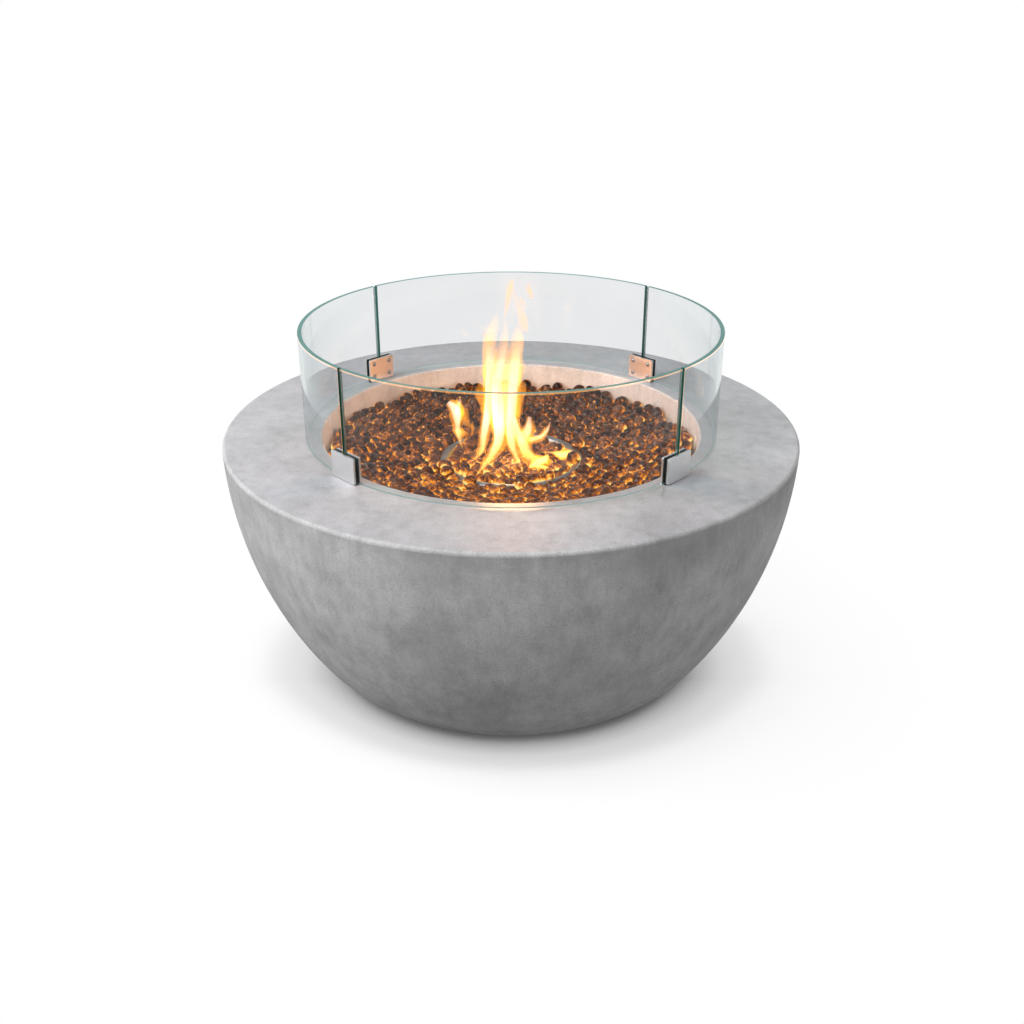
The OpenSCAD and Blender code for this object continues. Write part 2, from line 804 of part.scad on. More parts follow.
module air_mixer() {
    window_w = mixer_d / 3;
    window_h = mixer_len - mixer_socket - 5 * mixer_wall;
    color(brass) difference() {
        translate([0, 0, mixer_low]) cylinder(d = mixer_d, h = mixer_len);
        translate([0, 0, nipple_low]) cylinder(d = nipple_d, h = mixer_socket + over);
        translate([0, 0, mixer_low + 2 * mixer_wall])
            cylinder(d = nipple_d - mixer_wall, h = nipple_low - mixer_low);
        translate([0, 0, mixer_low - over]) cylinder(d = spud_d, h = mixer_len / 2);
        for (a = [0, 90])
            rotate([0, 0, a]) translate([-mixer_d, -window_w / 2, mixer_low + 4 * mixer_wall])
                cube([2 * mixer_d, window_w, window_h]);
    }
}

module gas_orifice() {
    jet_d = 1.6;
    color(brass) difference() {
        union() {
            translate([0, 0, mixer_low]) cylinder(d = spud_d, h = spud_len - spud_d / 4);
            translate([0, 0, mixer_low + spud_len - spud_d / 4])
                cylinder(d1 = spud_d, d2 = spud_d / 2, h = spud_d / 4);
            translate([0, 0, mixer_low - hex_h]) hex(hex_flat, hex_h);
            translate([0, 0, hose_top_in]) cylinder(d = flare_d, h = flare_len);
        }
        translate([0, 0, hose_top_in - over]) cylinder(d = flare_bore, h = flare_len + over);
        translate([0, 0, mixer_low - hex_h]) cylinder(d = jet_d, h = spud_len + hex_h + over);
    }
}

// A hanging U from the orifice to the valve, in the upright plane through both
module hose_run(d) {
    rotate([0, 0, hose_turn]) {
        translate([0, 0, hose_low + hose_bend]) cylinder(d = d, h = hose_top_in - hose_low - hose_bend);
        translate([hose_bend, 0, hose_low + hose_bend]) rotate([90, 0, 0]) rotate([0, 0, 180])
            rotate_extrude(angle = 90) translate([hose_bend, 0]) circle(d = d);
        translate([hose_bend, 0, hose_low]) rotate([0, 90, 0])
            cylinder(d = d, h = hose_span - 2 * hose_bend);
        translate([hose_span - hose_bend, 0, hose_low + hose_bend]) rotate([90, 0, 0]) rotate([0, 0, 270])
            rotate_extrude(angle = 90) translate([hose_bend, 0]) circle(d = d);
        translate([hose_span, 0, hose_low + hose_bend])
            cylinder(d = d, h = hose_top_out - hose_low - hose_bend);
    }
}

module supply_hose() {
    color(steel) difference() {
        hose_run(hose_d);
        hose_run(hose_d - 2 * hose_wall);
    }
}

// A nut that holds the hose's end to a fitting of a given diameter above it
module flare_nut(fitting_d) {
    difference() {
        translate([0, 0, -nut_len / 2]) hex(max(fitting_d, hose_d) + 5, nut_len);
        cylinder(d = fitting_d, h = nut_len);
        translate([0, 0, -nut_len]) cylinder(d = hose_d, h = nut_len);
    }
}

module hose_nuts() {
    color(brass) {
        translate([0, 0, hose_top_in]) flare_nut(flare_d);
        translate([-control_dx, valve_y, hose_top_out]) flare_nut(valve_port_d);
    }
}

// The gas outlet downward and the gas inlet sideways
module valve_ports(d, length) {
    for (turn = [[-90, 0, 0], [0, -90, 0]])
        translate([0, 0, -valve_port_back]) rotate(turn) cylinder(d = d, h = length);
}

module valve_body() {
    color(brass) at_panel(-control_dx) difference() {
        union() {
            translate([0, 0, -valve_len]) cylinder(d = valve_d, h = valve_len);
            cylinder(d = neck_d, h = neck_len);
            valve_ports(valve_port_d, valve_port_len);
        }
        translate([0, 0, plug_back]) cylinder(d = plug_d + 2 * run_gap, h = plug_len + slip_gap);
        translate([0, 0, plug_front]) cylinder(d = chamber_d, h = chamber_front - plug_front);
        translate([0, 0, chamber_front - over])
            cylinder(d = stem_d + 2 * run_gap, h = neck_len - chamber_front + 2 * over);
        valve_ports(flare_bore, valve_port_len + over);
    }
}

module valve_nut() {
    color(brass) at_panel(-control_dx) translate([0, 0, panel_t]) difference() {
        hex(valve_nut_flat, valve_nut_h);
        translate([0, 0, -over]) cylinder(d = neck_d, h = valve_nut_h + 2 * over);
    }
}

module gas_inlet_fitting() {
    color(brass) at_panel(-control_dx) translate([-valve_port_len, 0, -valve_port_back]) rotate([0, -90, 0])
        difference() {
            union() {
                hex(inlet_flat, hex_h);
                cylinder(d = flare_d, h = hex_h + flare_len);
            }
            translate([0, 0, -over]) cylinder(d = flare_bore, h = hex_h + flare_len + 2 * over);
        }
}

module valve_plug() {
    color(brass) at_panel(-control_dx) difference() {
        translate([0, 0, plug_back + slip_gap]) cylinder(d = plug_d, h = plug_len - slip_gap);
        translate([-blade_w / 2 - slip_gap, -blade_t / 2 - slip_gap, plug_front - slot_deep])
            cube([blade_w + 2 * slip_gap, blade_t + 2 * slip_gap, slot_deep + over]);
    }
}

module stem_section() {
    intersection() {
        circle(d = stem_d);
        translate([-stem_d, -stem_flat]) square(2 * stem_d);
    }
}

module valve_stem() {
    color(steel) at_panel(-control_dx) {
        translate([-blade_w / 2, -blade_t / 2, plug_front - blade_in])
            cube([blade_w, blade_t, collar_back - plug_front + blade_in]);
        translate([0, 0, collar_back]) cylinder(d = collar_d, h = collar_t);
        translate([0, 0, collar_front]) cylinder(d = stem_d, h = knob_back + knob_recess - collar_front);
        translate([0, 0, knob_back + knob_recess])
            linear_extrude(stem_front - knob_back - knob_recess) stem_section();
    }
}

module stem_spring() {
    color(steel) at_panel(-control_dx) translate([0, 0, plug_front])
        coil(stem_coil_d, stem_wire, collar_back - plug_front, stem_turns);
}

module knob_outline() {
    r = knob_d / 2;
    front = knob_back + knob_len;
    polygon(concat([[0, knob_back], [r + knob_skirt, knob_back], [r + knob_skirt, knob_back + knob_skirt_h],
                    [r, knob_back + knob_skirt_h + knob_skirt]],
                   arc([r - knob_taper - knob_round, front - knob_round], knob_round, 0, 90, round_steps),
                   [[0, front]]));
}

module control_knob() {
    front = knob_back + knob_len;
    color(black) at_panel(-control_dx) difference() {
        union() {
            rotate_extrude() knob_outline();
            translate([-pointer_w / 2, -knob_d / 2 + 2 * knob_round, front - over])
                cube([pointer_w, knob_d / 2 - 2 * knob_round, pointer_h + over]);
        }
        translate([0, 0, knob_back - over]) cylinder(r = knob_recess_r, h = knob_recess + over);
        translate([0, 0, knob_back]) linear_extrude(stem_front - knob_back) stem_section();
        translate([0, -stem_flat, grub_at]) rotate([90, 0, 0]) cylinder(d = grub_d, h = knob_d);
        for (i = [0:flute_count - 1])
            rotate([0, 0, 360 * (i + 0.5) / flute_count])
                translate([knob_d / 2 + flute_d / 2 - flute_cut, 0, flute_start])
                    cylinder(d = flute_d, h = knob_len);
    }
}

module knob_set_screw() {
    color(dark_steel) at_panel(-control_dx) translate([0, -stem_flat, grub_at]) rotate([90, 0, 0])
        difference() {
            cylinder(d = grub_d, h = grub_len);
            translate([0, 0, grub_len - socket_deep]) hex(grub_d / 2, socket_deep + over);
        }
}

// Control panel and igniter

module control_panel() {
    color(steel) at_panel(0) difference() {
        linear_extrude(panel_t) rounded_rect(panel_w, panel_h, panel_round);
        translate([0, 0, -over]) {
            translate([-control_dx, 0, 0]) cylinder(d = neck_d + 2 * hole_gap, h = panel_t + 2 * over);
            translate([control_dx, 0, 0]) cylinder(d = igniter_d + 2 * hole_gap, h = panel_t + 2 * over);
            panel_screw_places() cylinder(d = panel_screw_d + 2 * hole_gap, h = panel_t + 2 * over);
        }
    }
}

module panel_screws() {
    head_d = 2 * panel_screw_d;
    color(steel) at_panel(0) panel_screw_places() {
        translate([0, 0, panel_t - panel_screw_len]) cylinder(d = panel_screw_d, h = panel_screw_len);
        translate([0, 0, panel_t]) button_head(head_d, screw_head_h);
    }
}

module igniter_body() {
    color(black) at_panel(control_dx) difference() {
        union() {
            translate([0, 0, igniter_back]) cylinder(d = igniter_d, h = panel_t - igniter_back);
            translate([0, 0, panel_t])
                cylinder(d1 = igniter_flange_d, d2 = igniter_flange_d - 2, h = igniter_flange_h);
            translate([0, 0, igniter_back - igniter_post_len])
                cylinder(d = igniter_post_d, h = igniter_post_len);
        }
        translate([0, 0, igniter_floor])
            cylinder(d = battery_d + 2 * slip_gap, h = igniter_front - igniter_floor);
        translate([0, 0, igniter_wide])
            cylinder(d = button_d + 2 * slip_gap, h = igniter_front - igniter_wide + over);
    }
}

module igniter_nut() {
    color(black) at_panel(control_dx) translate([0, 0, -igniter_nut_h]) difference() {
        hex(igniter_nut_flat, igniter_nut_h);
        translate([0, 0, -over]) cylinder(d = igniter_d, h = igniter_nut_h + 2 * over);
    }
}

module battery() {
    nib_d = 5.5;
    nib_h = 1;
    color(dark_steel) at_panel(control_dx) translate([0, 0, igniter_floor]) {
        cylinder(d = battery_d, h = battery_len - nib_h);
        translate([0, 0, battery_len - nib_h]) cylinder(d = nib_d, h = nib_h);
    }
}

module igniter_button() {
    edge = 1.5;
    color([0.75, 0.12, 0.08]) at_panel(control_dx) {
        translate([0, 0, button_back]) cylinder(d = button_d, h = button_front - edge - button_back);
        translate([0, 0, button_front - edge]) cylinder(d1 = button_d, d2 = button_d - 2 * edge, h = edge);
    }
}

module igniter_spring() {
    start = igniter_floor + battery_len;
    color(steel) at_panel(control_dx) translate([0, 0, start])
        coil(button_coil_d, button_wire, button_back - start, button_turns);
}

// Wind guard

// One panel of glass, between seam i and the one before it, without its holes
module glass_blank(i) {
    from = seams[(i + 3) % 4];
    to = seams[i];
    turn = (to - from + 360) % 360;
    rotate([0, 0, from + half_gap]) rotate_extrude(angle = turn - 2 * half_gap)
        translate([glass_in, glass_base_z]) square([glass_t, glass_top_z - glass_base_z]);
}

module clamp_screw_places() {
    for (x = [-1, 1], z = [-1, 1])
        translate([x * screw_dx / 2, clamp_mid_z + z * screw_dz / 2, 0]) children();
}

module glass_panel(i) {
    color(clear_glass) difference() {
        glass_blank(i);
        for (k = [i, (i + 3) % 4])
            at_seam(k) clamp_screw_places()
                translate([0, 0, plate_in]) cylinder(d = glass_hole_d, h = plate_out - plate_in);
    }
}

module outer_clamp(i) {
    color(steel) at_seam(i) difference() {
        translate([0, clamp_mid_z, plate_out])
            linear_extrude(clamp_t) rounded_rect(clamp_w, clamp_h, clamp_round);
        clamp_screw_places() translate([0, 0, plate_out - over])
            cylinder(d = screw_d, h = thread_in + over);
    }
}

module inner_clamp(i) {
    color(steel) at_seam(i) difference() {
        translate([0, clamp_mid_z, plate_in - clamp_t])
            linear_extrude(clamp_t) rounded_rect(clamp_w, clamp_h, clamp_round);
        clamp_screw_places() translate([0, 0, plate_in - clamp_t - over])
            cylinder(d = screw_d + 2 * hole_gap, h = clamp_t + 2 * over);
    }
}

// Rubber that fills the room between the plates and the glass and stands on the table
module gasket(i) {
    color(black) difference() {
        at_seam(i) translate([-clamp_w / 2, top_z, plate_in])
            cube([clamp_w, clamp_lift + clamp_h, plate_out - plate_in]);
        glass_blank(i);
        glass_blank((i + 1) % 4);
        at_seam(i) clamp_screw_places() translate([0, 0, plate_in - over])
            cylinder(d = screw_d + 2 * hole_gap, h = plate_out - plate_in + 2 * over);
    }
}

// A low domed screw head standing on z = 0
module button_head(d, h) {
    dome_r = ((d / 2) ^ 2 + h ^ 2) / (2 * h);
    flat = asin(d / 2 / dome_r);
    difference() {
        rotate_extrude()
            polygon(concat([[0, 0]], arc([0, h - dome_r], dome_r, 90 - flat, 90, round_steps)));
        translate([0, 0, h - socket_deep]) hex(socket_flat, h);
    }
}

module clamp_screws() {
    shank = clamp_t + plate_out - plate_in + thread_in;
    color(steel) for (i = [0:3]) at_seam(i) clamp_screw_places() translate([0, 0, plate_in - clamp_t]) {
        cylinder(d = screw_d, h = shank);
        mirror([0, 0, 1]) button_head(screw_head_d, screw_head_h);
    }
}

bowl_shell();
table_top();
for (i = [0:3]) {
    foot(i);
    glass_panel(i);
    outer_clamp(i);
    inner_clamp(i);
    gasket(i);
}
burner_pan();
burner_ring();
feed_tube();
inlet_nipple();
pan_locknut();
ring_standoffs();
standoff_screws();
fire_glass();
air_mixer();
gas_orifice();
supply_hose();
hose_nuts();
valve_body();
valve_nut();
gas_inlet_fitting();
control_panel();
panel_screws();
igniter_body();
igniter_nut();
battery();
sensor_bracket();
bracket_screws();
spark_electrode();
electrode_rod();
thermocouple();
ignition_lead();
thermocouple_lead();
clamp_screws();
valve_plug();
valve_stem();
stem_spring();
control_knob();
knob_set_screw();
igniter_button();
igniter_spring();
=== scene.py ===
"""Looks of the gas fire pit table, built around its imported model.

Metres, in the model's own frame: +Z up, the front faces -Y, the floor is z = 0.
"""
import json
import math
import random

import bmesh
import bpy
from mathutils import Euler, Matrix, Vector, noise
from mathutils.kdtree import KDTree


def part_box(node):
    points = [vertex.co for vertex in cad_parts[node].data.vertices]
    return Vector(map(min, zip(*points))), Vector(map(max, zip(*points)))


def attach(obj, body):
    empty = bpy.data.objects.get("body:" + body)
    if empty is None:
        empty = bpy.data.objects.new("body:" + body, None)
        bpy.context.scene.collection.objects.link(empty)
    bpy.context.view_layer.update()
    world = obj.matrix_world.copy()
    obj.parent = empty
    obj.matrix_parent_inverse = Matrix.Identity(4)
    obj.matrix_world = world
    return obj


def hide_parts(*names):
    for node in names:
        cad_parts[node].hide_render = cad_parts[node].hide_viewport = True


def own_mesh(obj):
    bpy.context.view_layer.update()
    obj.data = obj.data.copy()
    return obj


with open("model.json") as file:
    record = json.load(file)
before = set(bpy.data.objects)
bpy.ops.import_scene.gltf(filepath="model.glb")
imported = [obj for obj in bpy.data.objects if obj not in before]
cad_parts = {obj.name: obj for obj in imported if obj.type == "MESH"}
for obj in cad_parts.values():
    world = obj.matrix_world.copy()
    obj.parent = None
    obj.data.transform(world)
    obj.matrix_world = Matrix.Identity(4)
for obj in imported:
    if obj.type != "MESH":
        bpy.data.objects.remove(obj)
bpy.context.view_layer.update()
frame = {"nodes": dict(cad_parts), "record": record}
nodes = frame["nodes"]

# Places taken from the model
TABLE_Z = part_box("bowl_shell")[1].z
RING_LOW, RING_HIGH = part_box("burner_ring")
RING_TUBE_R = (RING_HIGH.z - RING_LOW.z) / 2
RING_R = RING_HIGH.x - RING_TUBE_R
RING_Z = RING_LOW.z + RING_TUBE_R
BED_LOW, BED_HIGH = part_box("fire_glass")
BED_R = BED_HIGH.x

# Camera of the photograph
CAMERA_PLACE = (0.0, -1.6545, 1.0496)
CAMERA_TILT = 25.472
CAMERA_LENS = 40.567
IMAGE_SIDE = 1024
AXIS_OFFSET_PIXELS = 1

# Fire glass: the beads' radii, the pitch of the two layers, and how far below the table top they lie
BEAD_RADIUS = (0.0078, 0.0112)
BEAD_PITCH = 0.0184
LOWER_PITCH = 0.0190
BED_RING_DROP = 0.063
BED_WALL_DROP = 0.032
LOWER_LAYER_DROP = 0.010
BEAD_SHAPES = 14

# Laying the beads: their jitter in pitches and in height, and how they push apart and settle
JITTER = 0.3
HEIGHT_JITTER = (-0.002, 0.003)
RELAX_ROUNDS = 14
TOUCHING = 0.94
PUSH = 0.45
SETTLE = 0.25

# Wear of a bead from a ball, its tilt, and the part of the ring's tube that stays bare
PEBBLE_WIDTH = (0.85, 1.12)
PEBBLE_HEIGHT = (0.72, 0.95)
PEBBLE_DENT = 0.22
PEBBLE_TILT = 0.5
RING_BARE = 0.004
RING_BARE_SHARE = 0.38
RING_CLEARED = 0.8

# Packed glass under the beads
CORE_DROP = 0.013
CORE_STEP = 0.006
CORE_ROUGH = 0.0015
CORE_TURNS = 144
CORE_CLEAR = 0.0005
CORE_FOOT_CLEAR = 0.0025
CORE_LIFT = 0.0002
CORE_LEAST_R = 0.008
TRENCH_HALF = RING_TUBE_R + 0.0055
TRENCH_FLOOR = RING_Z - RING_TUBE_R - 0.002

# Wind guard: its heights, the planes through its seams, and the strip of glass along an edge, with the colour
# of the fire's reflection painted on it
GUARD_LOW, GUARD_TOP = (corner.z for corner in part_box("glass_front"))
SEAM_X, SEAM_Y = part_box("glass_front")[1].x, abs(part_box("glass_front")[1].y)
SEAM_NORMALS = [Vector((SEAM_Y, side * SEAM_X, 0.0)).normalized() for side in (-1, 1)]
SEAM_HALF = 0.0008
ARRIS = 0.0022
FIRE_REFLECTION_COLOR = (1.0, 0.46, 0.14, 1.0)

# Heights over which the flame turns from yellow to white
FOOT_Z = (0.372, 0.418)

# Darker band of the concrete under the rim: heights, and the radius that keeps it off the well
RIM_BAND_Z = (TABLE_Z - 0.075, TABLE_Z - 0.006)
RIM_BAND_R = 0.36

# Table top's painted shade against the cast sides, and the edges broken on plates
TOP_PAINTED_SHADE = (0.870, 0.876, 0.912, 1.0)
EDGE_BREAK = 0.00025


# Materials

class Nodes:
    """A node tree, with short calls to add to it."""

    def __init__(self, tree):
        self.tree = tree

    def put(self, socket, value):
        if isinstance(value, bpy.types.NodeSocket):
            self.tree.links.new(value, socket)
        else:
            socket.default_value = value

    def add(self, kind, settings=None, **inputs):
        made = self.tree.nodes.new("ShaderNode" + kind)
        for key, value in (settings or {}).items():
            setattr(made, key, value)
        for key, value in inputs.items():
            self.put(made.inputs[key.replace("_", " ")], value)
        return made

    def ramp(self, value, *stops):
        made = self.add("ValToRGB", Fac=value)
        elements = made.color_ramp.elements
        while len(elements) < len(stops):
            elements.new(0.5)
        for element, (at, color) in zip(elements, stops):
            element.position = at
            element.color = (*color, 1.0)
        return made.outputs["Color"]

    def span(self, value, low, high, start=0.3, end=0.7):
        made = self.add("MapRange", Value=value, From_Min=start, From_Max=end, To_Min=low, To_Max=high)
        return made.outputs["Result"]

    def math(self, operation, first, second=0.0):
        made = self.add("Math", {"operation": operation})
        self.put(made.inputs[0], first)
        self.put(made.inputs[1], second)
        return made.outputs[0]

    def vector(self, operation, first, second=(0.0, 0.0, 0.0)):
        made = self.add("VectorMath", {"operation": operation})
        self.put(made.inputs[0], first)
        self.put(made.inputs[1], second)
        return made.outputs["Value" if operation in ("DOT_PRODUCT", "LENGTH") else "Vector"]

    def mix(self, factor, first, second, blend="MIX"):
        made = self.add("Mix", {"data_type": "RGBA", "blend_type": blend})
        self.put(made.inputs[0], factor)
        self.put(made.inputs[6], first)
        self.put(made.inputs[7], second)
        return made.outputs[2]

    def mix_shaders(self, factor, first, second):
        made = self.add("MixShader")
        self.put(made.inputs[0], factor)
        self.put(made.inputs[1], first)
        self.put(made.inputs[2], second)
        return made.outputs["Shader"]

    def add_shaders(self, first, second):
        made = self.add("AddShader")
        self.put(made.inputs[0], first)
        self.put(made.inputs[1], second)
        return made.outputs["Shader"]

    def seen(self, *rays):
        """1 for the kinds of ray named, such as Camera, and 0 for the others."""
        path = self.add("LightPath")
        total = path.outputs[f"Is {rays[0]} Ray"]
        for ray in rays[1:]:
            total = self.math("MAXIMUM", total, path.outputs[f"Is {ray} Ray"])
        return total


class Shader(Nodes):
    """One material's node tree."""

    def __init__(self, name):
        self.material = bpy.data.materials.new(name)
        self.material.use_nodes = True
        super().__init__(self.material.node_tree)
        self.surface = self.tree.nodes["Principled BSDF"]
        self.output = self.tree.nodes["Material Output"]
        self.place = self.add("TexCoord").outputs["Object"]

    def set(self, **inputs):
        for key, value in inputs.items():
            self.put(self.surface.inputs[key.replace("_", " ")], value)

    def noise(self, scale, detail=3.0, roughness=0.5, place=None):
        made = self.add("TexNoise", Vector=place or self.place, Scale=scale, Detail=detail,
                        Roughness=roughness)
        return made.outputs["Fac"]

    def stretched(self, x, y, z):
        return self.add("Mapping", Vector=self.place, Scale=(x, y, z)).outputs["Vector"]

    def height(self):
        return self.add("SeparateXYZ", Vector=self.place).outputs["Z"]

    def bump(self, height, strength, distance):
        made = self.add("Bump", Height=height, Strength=strength, Distance=distance)
        self.set(Normal=made.outputs["Normal"])


def gray(level, blue=1.0):
    return (level, level, level * blue)


def gray_rgba(level):
    return (*gray(level), 1.0)


def grays(*stops):
    """Stops of a grey ramp from pairs of place and level."""
    return [(at, gray(level)) for at, level in stops]


def concrete():
    """Pale cast concrete: clouds, blotches and fine flecks, and a darker band under the rim.

    The table top is smoother than the cast sides, and painted a little darker and bluer: painted shade for
    the light that falls on it from above.
    """
    s = Shader("cast_concrete")
    cloud = s.noise(4.2, 7.0, 0.62)
    patch = s.noise(14.0, 7.0, 0.66)
    fleck = s.noise(1.0, 6.0, 0.68, s.stretched(56.0, 56.0, 20.0))
    grain = s.noise(420.0, 3.0, 0.6)
    color = s.ramp(cloud, (0.34, gray(0.450, 1.01)), (0.50, gray(0.560, 1.015)), (0.66, gray(0.635, 1.01)))
    mottles = (
        (patch, 0.85, grays((0.32, 0.82), (0.52, 1.0), (0.70, 1.08))),
        (fleck, 0.85, grays((0.30, 0.80), (0.50, 1.0), (0.68, 1.10))),
        (grain, 0.90, grays((0.30, 0.80), (0.52, 1.0), (0.75, 1.12))),
    )
    for pattern, share, stops in mottles:
        color = s.mix(share, color, s.ramp(pattern, *stops), "MULTIPLY")
    height = s.height()
    reach = s.vector("LENGTH", s.vector("MULTIPLY", s.place, (1.0, 1.0, 0.0)))
    band = s.span(height, 0.0, 1.0, *RIM_BAND_Z)
    band = s.math("MULTIPLY", band, s.math("LESS_THAN", height, RIM_BAND_Z[1]))
    under_rim = s.math("MULTIPLY", band, s.math("GREATER_THAN", reach, RIM_BAND_R))
    stain = s.math("MULTIPLY", under_rim, s.span(patch, 0.85, 0.20, 0.36, 0.64))
    color = s.mix(stain, color, gray_rgba(0.36))
    pits = s.add("TexVoronoi", Vector=s.place, Scale=70.0, Randomness=1.0).outputs["Distance"]
    pit_depth = s.span(pits, 0.0, 1.0, 0.03, 0.09)
    up = s.add("SeparateXYZ", Vector=s.add("NewGeometry").outputs["True Normal"]).outputs["Z"]
    cast_side = s.span(up, 1.0, 0.0, 0.93, 0.995)
    # Painted shade: faces that look up are made darker and bluer than the cast sides
    color = s.mix(1.0, color, s.mix(cast_side, TOP_PAINTED_SHADE, gray_rgba(1.0)), "MULTIPLY")
    s.set(
        Base_Color=color,
        Roughness=s.math("ADD", s.span(patch, 0.28, 0.38), s.math("MULTIPLY", cast_side, 0.30)),
        Specular_IOR_Level=s.span(cast_side, 0.5, 0.02, 0.0, 1.0),
    )
    relief = s.math("ADD", s.math("MULTIPLY", grain, 0.35), s.math("MULTIPLY", pit_depth, 0.5))
    s.bump(relief, 0.16, 0.0006)
    return s.material


def metal(name, color, roughness, streak=(30.0, 30.0, 900.0), stain=None, contrast=1.0):
    """Brushed metal: fine streaks along one direction, and stains where it has been hot."""
    s = Shader(name)
    grain = s.noise(1.0, 3.0, 0.6, s.stretched(*streak))
    tone = s.noise(24.0, 4.0)
    dark = [c * (1 - 0.14 * contrast) for c in color]
    bright = [min(1.0, c * (1 + 0.08 * contrast)) for c in color]
    shade = s.ramp(grain, (0.25, dark), (0.75, bright))
    if stain:
        shade = s.mix(s.span(tone, 0.0, 0.75, 0.42, 0.66), shade, (*stain, 1.0))
    s.set(Base_Color=shade, Metallic=1.0, Roughness=s.span(grain, roughness - 0.06, roughness + 0.08))
    s.bump(grain, 0.08, 0.0002)
    return s.material


def moulded(name, color, roughness, grain_scale=900.0, grain_depth=0.12):
    """Moulded plastic or rubber: fine grain and a little dust in its tone."""
    s = Shader(name)
    dust = s.noise(35.0, 5.0, 0.6)
    grain = s.noise(grain_scale, 2.0)
    pale = [min(1.0, c * 1.25 + 0.012) for c in color]
    s.set(
        Base_Color=s.ramp(dust, (0.35, color), (0.75, pale)),
        Roughness=s.span(dust, roughness, roughness + 0.12),
    )
    s.bump(grain, grain_depth, 0.0003)
    return s.material


def ceramic():
    """White ceramic with soot on it."""
    s = Shader("white_ceramic")
    soot = s.span(s.noise(55.0, 4.0), 0.0, 0.5, 0.45, 0.75)
    s.set(Base_Color=s.mix(soot, (0.82, 0.79, 0.72, 1.0), (0.36, 0.31, 0.27, 1.0)), Roughness=0.45)
    s.bump(s.noise(700.0), 0.08, 0.0002)
    return s.material


def braided_hose():
    """Steel braid: two crossing sets of strands."""
    s = Shader("braided_hose")
    waves = []
    for turn in (0.7, -0.7):
        turned = s.add("Mapping", Vector=s.place, Rotation=(turn, turn, 0.0)).outputs["Vector"]
        waves.append(s.add("TexWave", Vector=turned, Scale=180.0, Distortion=0.6).outputs["Fac"])
    weave = s.math("MAXIMUM", *waves)
    s.set(Base_Color=s.ramp(weave, (0.2, gray(0.22)), (0.8, gray(0.62))), Metallic=1.0, Roughness=0.36)
    s.bump(weave, 0.5, 0.0006)
    return s.material


def guard_glass():
    """Clear tempered glass whose ground edges are green: an edge is a face that doesn't face the axis.

    Outside, the strip along an edge glows with a painted reflection of the fire, as the edge would reflect it
    from within.
    """
    s = Shader("guard_glass")
    flat = s.vector("MULTIPLY", s.place, (1.0, 1.0, 0.0))
    outward = s.vector("NORMALIZE", flat)
    geometry = s.add("NewGeometry")
    facing_out = s.vector("DOT_PRODUCT", outward, geometry.outputs["True Normal"])
    edge = s.math("LESS_THAN", s.math("ABSOLUTE", facing_out), 0.5)
    height = s.height()
    seam_gaps = [s.math("ABSOLUTE", s.vector("DOT_PRODUCT", s.place, across)) for across in SEAM_NORMALS]
    at_end = s.math("LESS_THAN", s.math("MINIMUM", *seam_gaps), SEAM_HALF + ARRIS)
    at_top = s.math("GREATER_THAN", height, GUARD_TOP - ARRIS)
    outside = s.math("SUBTRACT", s.math("GREATER_THAN", facing_out, 0.5), geometry.outputs["Backfacing"])
    # Mask of the painted reflection of the fire: the outer strip along the top edge and the seams
    reflection_strip = s.math("MULTIPLY", s.math("MAXIMUM", at_end, at_top), s.math("MAXIMUM", outside, 0.0))
    haze = s.noise(18.0, 4.0)
    body = s.ramp(haze, (0.3, (0.876, 0.860, 0.874)), (0.7, (0.894, 0.878, 0.892)))
    green = s.ramp(haze, (0.3, (0.07, 0.30, 0.27)), (0.7, (0.12, 0.38, 0.34)))
    up = s.add("SeparateXYZ", Vector=geometry.outputs["True Normal"]).outputs["Z"]
    green = s.mix(s.math("LESS_THAN", s.math("ABSOLUTE", up), 0.5), green, (0.012, 0.120, 0.100, 1.0))
    green = s.mix(s.math("LESS_THAN", height, GUARD_LOW + ARRIS), green, (0.16, 0.30, 0.28, 1.0))
    s.set(
        Base_Color=s.mix(edge, body, green),
        Roughness=s.math("MULTIPLY", edge, 0.30),
        IOR=1.28,
        Transmission_Weight=s.span(edge, 1.0, 0.35, 0.0, 1.0),
        # Painted reflection: the strip glows warm by emission
        Emission_Color=FIRE_REFLECTION_COLOR,
        Emission_Strength=s.math("MULTIPLY", reflection_strip, 0.55),
    )
    through = s.add("BsdfTransparent", Color=(0.93, 0.965, 0.955, 1.0)).outputs[0]
    glass = s.mix_shaders(s.seen("Shadow", "Diffuse"), s.surface.outputs[0], through)
    s.put(s.output.inputs["Surface"], glass)
    depth = s.add("VolumeAbsorption", Color=(0.36, 0.70, 0.68, 1.0), Density=17.0)
    s.put(s.output.inputs["Volume"], depth.outputs["Volume"])
    return s.material


